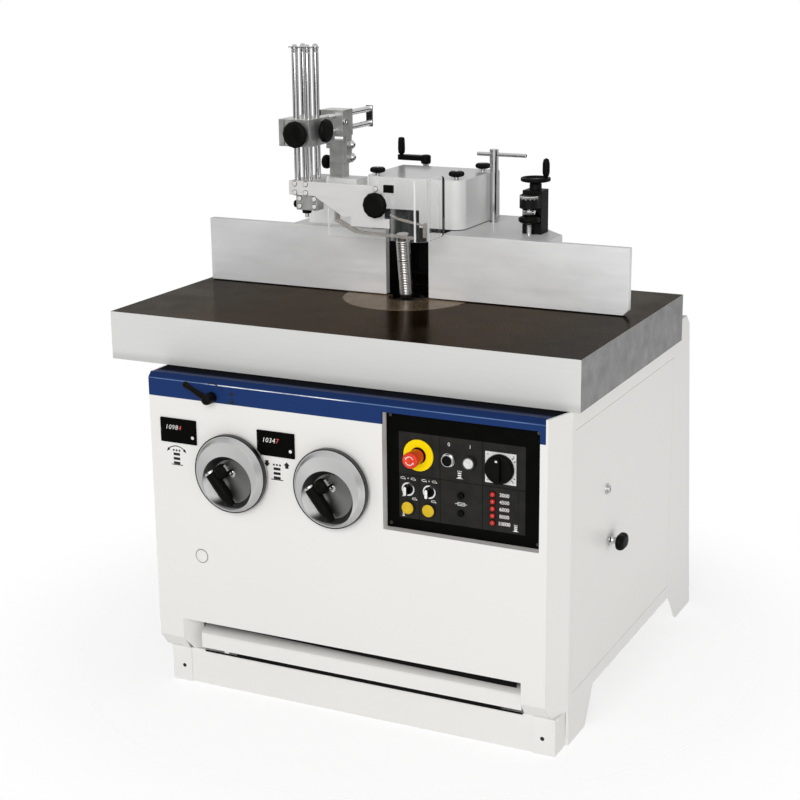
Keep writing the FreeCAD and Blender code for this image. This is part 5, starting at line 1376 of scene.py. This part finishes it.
class MOULDER_OT_buttons(bpy.types.Operator):
    """Builds the buttons, selectors and main switch of the control panel"""
    bl_idname = "moulder.buttons"
    bl_label = "Buttons and switches"

    def execute(self, context):
        self.emergency_stop()
        for name, body, node, x, crown, keys, slot in PRESS_BUTTONS:
            shape = Shape()
            place = spot(x, PANEL_FACE, STOP_BUTTON_PLACE[1])
            ring = [(12, BUTTON_ROOT), (12, 9.2), (13.4, 9.6), (14, 11.4), (13.4, 12), (12, 12),
                    (11.6, crown)]
            shape.turn(place, FRONT, ring, 48, 1, cap=False)
            cap = [(11.6, 7), (11.4, crown), (8, crown + 0.35), (0, crown + 0.4)]
            shape.turn(place, FRONT, softened(cap, 0.8), 48, cap=False)
            shape.piece(name, body, keys, node, sharp=45.0)

        for side, x in JOG_BUTTONS:
            shape = Shape()
            cap = [(12, BUTTON_ROOT), (12, 5.2), (14, 5.3), (14.4, 6.6), (13, 7.6), (7, 8.2), (0, 8.3)]
            shape.turn(spot(x, PANEL_FACE, -364.5), FRONT, softened(cap, 1.2))
            shape.piece(side + "_jog_cap", "jog_" + side, ("jog",),
                        side + "_jog_button", sharp=50.0)

        for side, x in zip(("left", "right"), SELECTOR_PLACES):
            shape = Shape()
            place = spot(x, PANEL_FACE, SELECTOR_HEIGHT)
            base = softened([(12, BUTTON_ROOT), (12, 6.5), (11.2, 9), (0, 9)], 1.0)
            shape.turn(place, FRONT, base, wave=lobed(20, 0.02))
            shape.press(rounded_outline(8.4, 23, 4.1), place + FRONT * 9 * MM, 13.2)
            shape.press(rounded_outline(6.8, 20.5, 3.3), place + FRONT * 22.1 * MM, 0.9, 1)
            shape.piece(side + "_turn_knob", "selector_" + side, ("black", "print_white"),
                        side + "_selector", rounding=0.5)

        shape = Shape()
        place = spot(MAINS_PLACE[0], PANEL_FACE, MAINS_PLACE[1])
        dial = [(14, BUTTON_ROOT), (14, 3.2), (31.5, 3.2), (33, 5), (33, 15), (30.5, 19), (0, 19)]
        shape.turn(place, FRONT, softened(dial, 1.5), 72)
        shape.press(rounded_outline(14, 59, 6.5, 7), place + FRONT * 18 * MM, 11)
        shape.stroke([(-2.6, 22.5), (2.6, 22.5)], 4.2, place + FRONT * 29.15 * MM, 1)
        shape.piece("rotary_handle", "mains", ("black", "print_white"), "main_switch",
                    rounding=0.9)
        return {"FINISHED"}

    def emergency_stop(self):
        shape = Shape()
        place = spot(STOP_PLACE[0], PANEL_FACE, STOP_PLACE[1])
        head = [(14, BUTTON_ROOT), (14, 9), (17, 10), (17.6, 30), (18.5, 45), (16, 48), (0, 48)]
        shape.turn(place, FRONT, softened(head, 1.6), 56)
        crown = place + FRONT * (48 + PRINT_GAP) * MM
        for start in (20, 200):
            shape.stroke(arc_points(9.5, start, start + 128, 16), 1.9, crown, 1)
            tip = arc_points(9.5, start + 152, start + 152, 1)[0]
            arrow_head(shape, tip, start + 236, 5, 6, crown, 1)
        shape.piece("stop_mushroom", "estop", ("red", "print_white"), "estop_button",
                    sharp=40.0)

        # Partly painted shade: a black collar ring at the foot of the mushroom that also stands in for the
        # shade there.
        shape = Shape()
        skirt = [(14.6, 3.1), (19, 3.1), (18.6, 4.2), (17.8, 4.8), (14.6, 4.8), (14.6, 3.1)]
        shape.turn(place, FRONT, skirt, 56, cap=False)
        shape.piece("stop_skirt", "cabinet", ("black",), sharp=40.0)


COUNTER_FACE = -443.2
COUNTER_HEIGHT = -251.5
COUNTER_PRINT = -443.82
# Left edge and digits
COUNTERS = ((-417.0, "10984"), (-154.5, "10347"))


class MOULDER_OT_counters(bpy.types.Operator):
    """Builds the two position counters and the signs below them"""
    bl_idname = "moulder.counters"
    bl_label = "Position counters"

    def execute(self, context):
        height = context.scene.moulder_sizes.digit_height
        shape = Shape()
        for left, digits in COUNTERS:
            shape.press(rounded_outline(98, 59, 1.6), spot(left + 49, FRONT_FACE, COUNTER_HEIGHT), 3.2)
            shape.press(rounded_outline(90, 51, 1.2), spot(left + 49, COUNTER_FACE, COUNTER_HEIGHT), 0.5)
            for number, digit in enumerate(digits):
                last = number == len(digits) - 1
                place = spot(left + 17.5 + 8.9 * number, COUNTER_PRINT, -244)
                shape.letters(digit, height, place, 2 if last else 1, 0.22)
            button = [(4, 0), (3.4, 0.2), (0, 0.25)]
            shape.turn(spot(left + 88, -443.7, -264), FRONT, button, 28, 1, cap=False)
            shape.stroke(arc_points(5, 125, 235, 8, 7, 0), 1.1, spot(left, COUNTER_PRINT, -252), 3)
        keys = ("bezel", "print_white", "print_red", "dark_screw")
        shape.piece("counter_cases", "cabinet", keys, "position_counters", rounding=0.4)

        shape = Shape()
        face = FRONT_FACE - PRINT_GAP
        stack_sign(shape, spot(-377, face, -336), 32)
        arc = spot(-377, face, -322)
        shape.stroke(arc_points(32, 44, 136, 18), 2.3, arc)
        for side in (-1, 1):
            arrow_head(shape, (side * 27.0, 17.0), 270 + side * 42, 10, 8, arc)
        stack_sign(shape, spot(-105, face, -337), 32)
        for x, heading in ((-131, -1), (-79, 1)):
            sign = spot(x, face, -300)
            shape.patch([(-4.4, -heading * 7), (4.4, -heading * 7), (4.4, 0), (-4.4, 0)], sign)
            shape.patch([(-8.2, 0), (8.2, 0), (0, heading * 8.5)], sign)
        shape.piece("counter_signs", "cabinet", ("print_black",))
        return {"FINISHED"}


GRIP_WAY = Vector((0.616, 0, -0.788))
PIN_WAY = Vector((0.788, 0, 0.616))
# Reach along the part and radius there
GRIP_NECK = ((6, 1), (7, 8), (10, 13), (16, 16.4), (24, 17.2), (32, 16.4), (38, 13), (41, 8), (42, 1))
GRIP_BARREL = ((-16.2, 1), (-16, 12.6), (-14.5, 14.2), (0, 14.8), (20, 15), (44, 15), (58, 13.6), (64, 11),
               (66, 9), (72, 8.8), (76, 7.6), (78, 4.6), (78.5, 0.4))


def oval_rod(shape, start, way, form, sides, flatten):
    """A rod flattened to the front, from (reach, radius) pairs along a direction."""
    path = [start + way * reach * MM for reach, radius in form]
    shape.sweep(path, [radius for reach, radius in form], sides, flatten, FRONT)


def folding_handle(wheel, centre):
    """A barrel grip that folds out of a handwheel on a cross pin."""
    place = spot(centre - 35, -467, -341.5)
    barrel = place - PIN_WAY * 4 * MM
    shape = Shape()
    oval_rod(shape, place, PIN_WAY, GRIP_NECK, 40, 0.85)
    oval_rod(shape, barrel, GRIP_WAY, GRIP_BARREL, 40, 0.96)
    tip = barrel + GRIP_WAY * 71 * MM + FRONT * 8.4 * MM
    shape.turn(tip, FRONT, [(0, 0.1), (3.2, 0.2), (4.2, 0.6), (5, -0.4)], 24, cap=False)
    band = [(0, -17.0), (12, -17.0), (14.2, -16.4), (14.8, -14.8), (14.8, -11.2), (14, -10.8)]
    shape.turn(barrel, GRIP_WAY, softened(band, 0.5), 44, 1, cap=False)
    pin = [(3.4, 40), (3.4, 45), (2.6, 46.4), (0, 46.6)]
    shape.turn(place, PIN_WAY, softened(pin, 0.8), 24, 1, cap=False)
    shape.piece(wheel + "_grip", wheel + "_wheel_handle", ("grip", "chrome"),
                wheel + "_handle", sharp=42.0)


# Name and place across
WHEELS = (("tilt", -221.0), ("height", 41.5))


class MOULDER_OT_handwheels(bpy.types.Operator):
    """Finishes the two handwheels and builds their folding handles"""
    bl_idname = "moulder.handwheels"
    bl_label = "Handwheels"

    def execute(self, context):
        nut = [(0, 10.6), (3.4, 10.6), (3.6, 13.4), (6.4, 13.6), (7.4, 12.8), (7.6, 11.4), (10.2, 11.2),
               (11, 9.8)]
        for wheel, x in WHEELS:
            centre = spot(x, FRONT_FACE, WHEEL_HEIGHT)
            lacquer = wheel_finish(wheel + " wheel lacquer", centre, context.scene.moulder_colours)
            dress(wheel + "_handwheel", lacquer, 0.0012, 3)
            folding_handle(wheel, x)
            shape = Shape()
            shape.turn(centre, FRONT, nut, 40, cap=False)
            shape.piece(wheel + "_axle_nut", wheel + "_wheel", ("chrome",), sharp=35.0)
        return {"FINISHED"}


LEVER_PLACE = (-272, -159)
LEVER_HEADING = math.radians(153)
LEVER_FORM = ((4, 9.5), (16, 8.2), (34, 7.0), (48, 6.4), (56, 7.2), (62, 8.2), (67, 7.6), (70, 4.6),
              (71, 0.4))


class MOULDER_OT_lever(bpy.types.Operator):
    """Builds the clamping lever and the marks beside it"""
    bl_idname = "moulder.lever"
    bl_label = "Clamping lever"

    def execute(self, context):
        shape = Shape()
        place = spot(LEVER_PLACE[0], FRONT_FACE, LEVER_PLACE[1])
        hub = [(7, -4.8), (7, 0.4), (13, 0.4), (13, 24), (11.6, 31), (7, 34), (0, 34)]
        shape.turn(place, FRONT, softened(hub, 2.4))
        heading = Vector((math.cos(LEVER_HEADING), 0, math.sin(LEVER_HEADING)))
        oval_rod(shape, place + FRONT * 23.5 * MM, heading, LEVER_FORM, 28, 0.72)
        shape.piece("clamp_lever", "lever", ("black",), "lock_lever", sharp=50.0)

        shape = Shape()
        face = spot(LEVER_PLACE[0], FRONT_FACE - PRINT_GAP, LEVER_PLACE[1])
        shape.stroke(arc_points(32, 32, 108), 2.4, face)
        for lift, opened in ((13, True), (-6, False)):
            low = lift - 5.4
            high = lift + 1.6
            shape.patch([(46.5, low), (57.5, low), (57.5, high), (46.5, high)], face)
            bow = arc_points(3.6, 180, 0, 8, 54.4 if opened else 52, lift + 2.8)
            bow = [(bow[0][0], lift + 1)] + bow + ([] if opened else [(bow[-1][0], lift + 1)])
            shape.stroke(bow, 1.4, face)
        shape.piece("lever_marks", "cabinet", ("print_black",))
        return {"FINISHED"}


def star_knob(shape, place, axis, radius, depth, stem, stem_radius, wave, stud=0.0, index=0):
    """A knob with soft lobes on a stem, with an optional bright stud in its top."""
    shank = [(stem_radius, 0.2), (stem_radius, stem + 1)]
    shape.turn(place, axis, shank, 32, 1 if stud else index, cap=False)
    top = stem + depth
    body = [(0, stem), (radius * 0.52, stem), (radius * 0.93, stem + depth * 0.22),
            (radius, stem + depth * 0.42), (radius, stem + depth * 0.72),
            (radius * 0.86, top - depth * 0.06), (radius * 0.45, top), (0, top)]
    shape.turn(place, axis, softened(body, depth * 0.14), 96, index, wave)
    if stud:
        cap = [(stud, top - 0.5), (stud, top + 0.8), (stud * 0.8, top + 1.6), (0, top + 1.8)]
        shape.turn(place, axis, softened(cap, 0.4), 32, 1, cap=False)


HOOD_TOP = 280
HOOD_KNOBS = ((-157, 192), (60, 196), (60, 362))
CRANK_PLACE = (-146, 455)
CRANK_REACH = 72


class MOULDER_OT_hood(bpy.types.Operator):
    """Finishes the fence hood and builds its knobs and crank"""
    bl_idname = "moulder.hood"
    bl_label = "Fence hood"

    def execute(self, context):
        rounding = context.scene.moulder_sizes.casting_rounding
        dress("hood_base", "hood_base", rounding * 0.5)
        dress("hood_cover", "hood_cover", 0.001)
        dress("clamp_screw", "chrome", 0.0008)
        dress("tommy_bar", "chrome", 0.0015, 3)

        shape = Shape()
        for x, y in HOOD_KNOBS:
            star_knob(shape, spot(x, y, HOOD_TOP), UP, 20, 15, 5, 6, lobed(7, 0.06), 5.0)
        shape.piece("cover_knobs", "hood", ("black", "chrome"), "hood_knobs", sharp=50.0)

        shape = Shape()
        axis = spot(*CRANK_PLACE, 0)
        shape.turn(axis, UP, [(8, 125), (8, HOOD_TOP)], 40, 1)
        boss = [(8, 276), (12, 277), (13.5, 281), (13.5, 296), (10.5, 300), (0, 301)]
        shape.turn(axis, UP, softened(boss, 1.6))
        outline = arc_points(13.5, -84, 84, 16) + arc_points(10.5, 94, 266, 16, -CRANK_REACH, 0)
        shape.press(outline, axis + UP * 284.5 * MM, 13.5, 0, RIGHT, BACK)
        grip = [(5, 297), (5, 300), (8.6, 302), (9.6, 312), (9.2, 332), (8.2, 343), (0, 345)]
        shape.turn(spot(CRANK_PLACE[0] - CRANK_REACH, CRANK_PLACE[1], 0), UP, softened(grip, 1.6), 40)
        shape.piece("hood_crank_arm", "crank", ("black", "chrome"), "hood_crank",
                    rounding=0.8, sharp=42.0)
        return {"FINISHED"}


DIAL_PLACE = (261, 221)
ADJUSTER_PLACE = (261, 181)
SCALE_RADIUS = 24 + PRINT_GAP
SCALE_TOP = 251


def level_way(degrees):
    """A level direction at an angle from the right toward the back."""
    angle = math.radians(degrees)
    return Vector((math.cos(angle), math.sin(angle), 0))


class MOULDER_OT_fences(bpy.types.Operator):
    """Finishes the fences and builds the fine adjuster"""
    bl_idname = "moulder.fences"
    bl_label = "Fences and adjuster"

    def execute(self, context):
        for node in ("left_fence", "right_fence"):
            dress(node, "fence", 0.001)
        dress("infeed_carrier", "iron", 0.001)
        dress("adjuster_bracket", "black_cast", 0.0015)

        shape = Shape()
        axis = spot(*DIAL_PLACE, 0)
        shape.turn(axis, UP, [(8, 244), (8, 277)], 36, 1)
        wheel = [(0, 276), (14, 276), (15.5, 280), (30, 281.5), (36, 283), (37, 286), (36.4, 291),
                 (34.5, 292), (32, 291), (28.5, 286.5), (13, 285), (10.5, 288.5), (0, 289)]
        shape.turn(axis, UP, softened(wheel, 1.0), 72)
        grip = [(4, 284), (4, 295), (7.2, 297), (9, 306), (8.8, 326), (6.6, 337), (0, 340)]
        shape.turn(spot(DIAL_PLACE[0] + 27, DIAL_PLACE[1], 0), UP, softened(grip, 1.8), 40)
        shape.piece("dial_wheel", "dial", ("black", "chrome"), "adjuster_wheel", sharp=42.0)

        shape = Shape()
        axis = spot(*ADJUSTER_PLACE, 0)
        thread = [(6, 155)]
        step = 157.0
        while step < 182:
            thread += [(6, step), (5.4, step + 0.9), (6, step + 1.8)]
            step += 2.0
        thread += [(6, 238)]
        shape.turn(axis, UP, thread, 32, 1)
        collar = [(6, 203), (14, 204), (17, 213), (17, 218), (6, 219)]
        shape.turn(axis, UP, softened(collar, 0.9), 56, 1, cap=False)
        star_knob(shape, spot(*ADJUSTER_PLACE, 182), UP, 26.8, 18, 2, 9, lobed(10, 0.025))
        shape.piece("lock_screw", "dial_lock", ("black", "chrome"), "adjuster_lock",
                    sharp=42.0)

        shape = Shape()
        for number in range(25):
            out = level_way(190 + 160 * number / 24)
            low = 246.5 if number % 4 else 243.5
            tick = axis + out * SCALE_RADIUS * MM
            shape.stroke([(0, low), (0, SCALE_TOP)], 0.9, tick, 0, UP.cross(out), UP)
        band = [axis + level_way(188 + 164 * number / 32) * SCALE_RADIUS * MM for number in range(33)]
        for before, after in zip(band, band[1:]):
            corners = ((before, SCALE_TOP), (after, SCALE_TOP), (after, 252.6), (before, 252.6))
            shape.faces([[shape.bm.verts.new(point + UP * height * MM) for point, height in corners]], 0)
        shape.piece("adjuster_scale", "hood", ("print_white",))
        return {"FINISHED"}


GUARD_FACE = -66
FOOT_FACE = -60
COLUMN = ((0, 293), (7.5, 293), (7.5, 596), (7.0, 596.4), (7.0, 597.6), (7.5, 598), (7.5, 605),
          (8.5, 605.6), (8.5, 610), (7.2, 611), (4.6, 616.4), (0, 617))
# Name, place, axis and radius
CLAMP_KNOBS = (
    ("block", (-241, -62, 406), FRONT, 32.5),
    ("plate", (-27, GUARD_FACE, 249), FRONT, 31),
    ("side", (-212, -7, 410), RIGHT, 29),
    ("post", (-272, 165.5, 310), LEFT, 18),
)
PLATE_SCREWS = ((-253, 286), (-223, 286), (-253, 264.5), (-223, 264.5), (-33, 285))
FOOT_SCREWS = ((-243.5, 250), (-203, 250), (-243.5, 231.5), (-203, 231.5))
LINK_PATH = ((-2, -52, 224), (18, -51, 215), (44, -50, 210), (70, -48, 205), (86, -42, 202))
LINK_RADII = (3.5, 5.0, 6.0, 4.5, 3.0)


class MOULDER_OT_guard(bpy.types.Operator):
    """Finishes the overhead guard and builds its columns, knobs and screws"""
    bl_idname = "moulder.guard"
    bl_label = "Overhead guard"

    def execute(self, context):
        rounding = context.scene.moulder_sizes.casting_rounding
        dress("guard_post", "post", rounding * 0.6)
        for node in ("guard_head", "clamp_block", "guard_foot"):
            dress(node, "casting", rounding * 0.6)
        dress("cross_rods", "chrome", 0.0008)
        dress("guard_plate", "plate", 0.001)
        dress("guard_shield", "clear")
        dress("pressure_shoe", "shoe", 0.001)

        shape = Shape()
        for x in (-258, -224):
            for y in (-40, 0):
                shape.turn(spot(x, y, 0), UP, softened(COLUMN, 0.4), 40)
        shape.brick((-270, -50, 609.6), (-212, -31, 611.6))
        shape.piece("columns", "guard", ("chrome",), "column_rods", rounding=0.3, sharp=40.0)

        for name, place, axis, radius in CLAMP_KNOBS:
            shape = Shape()
            star_knob(shape, spot(*place), axis, radius, 20, 6, 8, lobed(12, 0.015))
            shape.piece(name + "_star", "knob_" + name, ("black", "chrome"), name + "_knob",
                        sharp=45.0)

        self.screws()
        shape = Shape()
        shape.sweep([spot(*corner) for corner in LINK_PATH], LINK_RADII, 16, 0.6, UP)
        shape.brick((80, -44, 172), (88, -30, 206))
        shape.piece("shield_link", "guard", ("shoe",), rounding=0.8, sharp=40.0)
        return {"FINISHED"}

    def screws(self):
        shape = Shape()
        for depth, screws in ((GUARD_FACE, PLATE_SCREWS), (FOOT_FACE, FOOT_SCREWS)):
            for x, z in screws:
                place = spot(x, depth, z)
                shape.turn(place, FRONT, [(7.0, 0), (7.0, 0.4), (0, 0.4)], 28, 1)
                head = [(5.9, 0.2), (5.9, 1.4), (4.9, 2.4), (0, 2.6)]
                shape.turn(place, FRONT, softened(head, 0.7), 28)
        collar = [(5.2, 212), (11, 213), (11.5, 217), (11.5, 221.9), (5.2, 222)]
        shape.turn(spot(-233, -43, 0), UP, softened(collar, 0.8), 32, 1, cap=False)
        stop = [(4, 0), (4, 3), (9, 4), (9.5, 8), (8, 12), (0, 12.5)]
        shape.turn(spot(-253, -45, 234), LEFT, softened(stop, 1.2), 36, 1, cap=False)
        shape.brick((-12, -67, 278), (13, -60.5, 296), 1)
        shape.piece("guard_screws", "guard", ("plate", "black"), rounding=0.3, sharp=40.0)

        shape = Shape()
        socket_screw(shape, spot(-223, 140.5, 416), RIGHT, 8.5, 5.0)
        for y, z in ((164, 356), (166, 324)):
            dome_screw(shape, spot(-216, y, z), RIGHT, 8.5, 9.0)
        star_knob(shape, spot(-285, 150, 430), LEFT, 13, 16, 6, 5, lobed(10, 0.02), index=1)
        shape.piece("head_bolts", "swing_head", ("chrome", "black"), sharp=40.0)


class MOULDER_PT_panel(bpy.types.Panel):
    """Lists the steps that dress the spindle moulder"""
    bl_idname = "MOULDER_PT_panel"
    bl_label = "Spindle moulder"
    bl_space_type = "VIEW_3D"
    bl_region_type = "UI"
    bl_category = "Moulder"

    def draw(self, context):
        for step in STEPS:
            self.layout.operator(step.bl_idname)
        for group in (context.scene.moulder_sizes, context.scene.moulder_colours):
            box = self.layout.box()
            for label in group.__annotations__:
                box.prop(group, label)


STEPS = (
    MOULDER_OT_cabinet, MOULDER_OT_door_knob, MOULDER_OT_table, MOULDER_OT_spindle,
    MOULDER_OT_control_panel, MOULDER_OT_buttons, MOULDER_OT_counters, MOULDER_OT_handwheels,
    MOULDER_OT_lever, MOULDER_OT_hood, MOULDER_OT_fences, MOULDER_OT_guard, MOULDER_OT_stage,
)
CLASSES = (MoulderSizes, MoulderColours) + STEPS + (MOULDER_PT_panel,)


def register():
    for made in CLASSES:
        bpy.utils.register_class(made)
    bpy.types.Scene.moulder_sizes = bpy.props.PointerProperty(type=MoulderSizes)
    bpy.types.Scene.moulder_colours = bpy.props.PointerProperty(type=MoulderColours)


def unregister():
    del bpy.types.Scene.moulder_colours
    del bpy.types.Scene.moulder_sizes
    for made in reversed(CLASSES):
        bpy.utils.unregister_class(made)


def main():
    register()
    for step in STEPS:
        group, name = step.bl_idname.split(".")
        getattr(getattr(bpy.ops, group), name)()


if __name__ == "__main__":
    main()
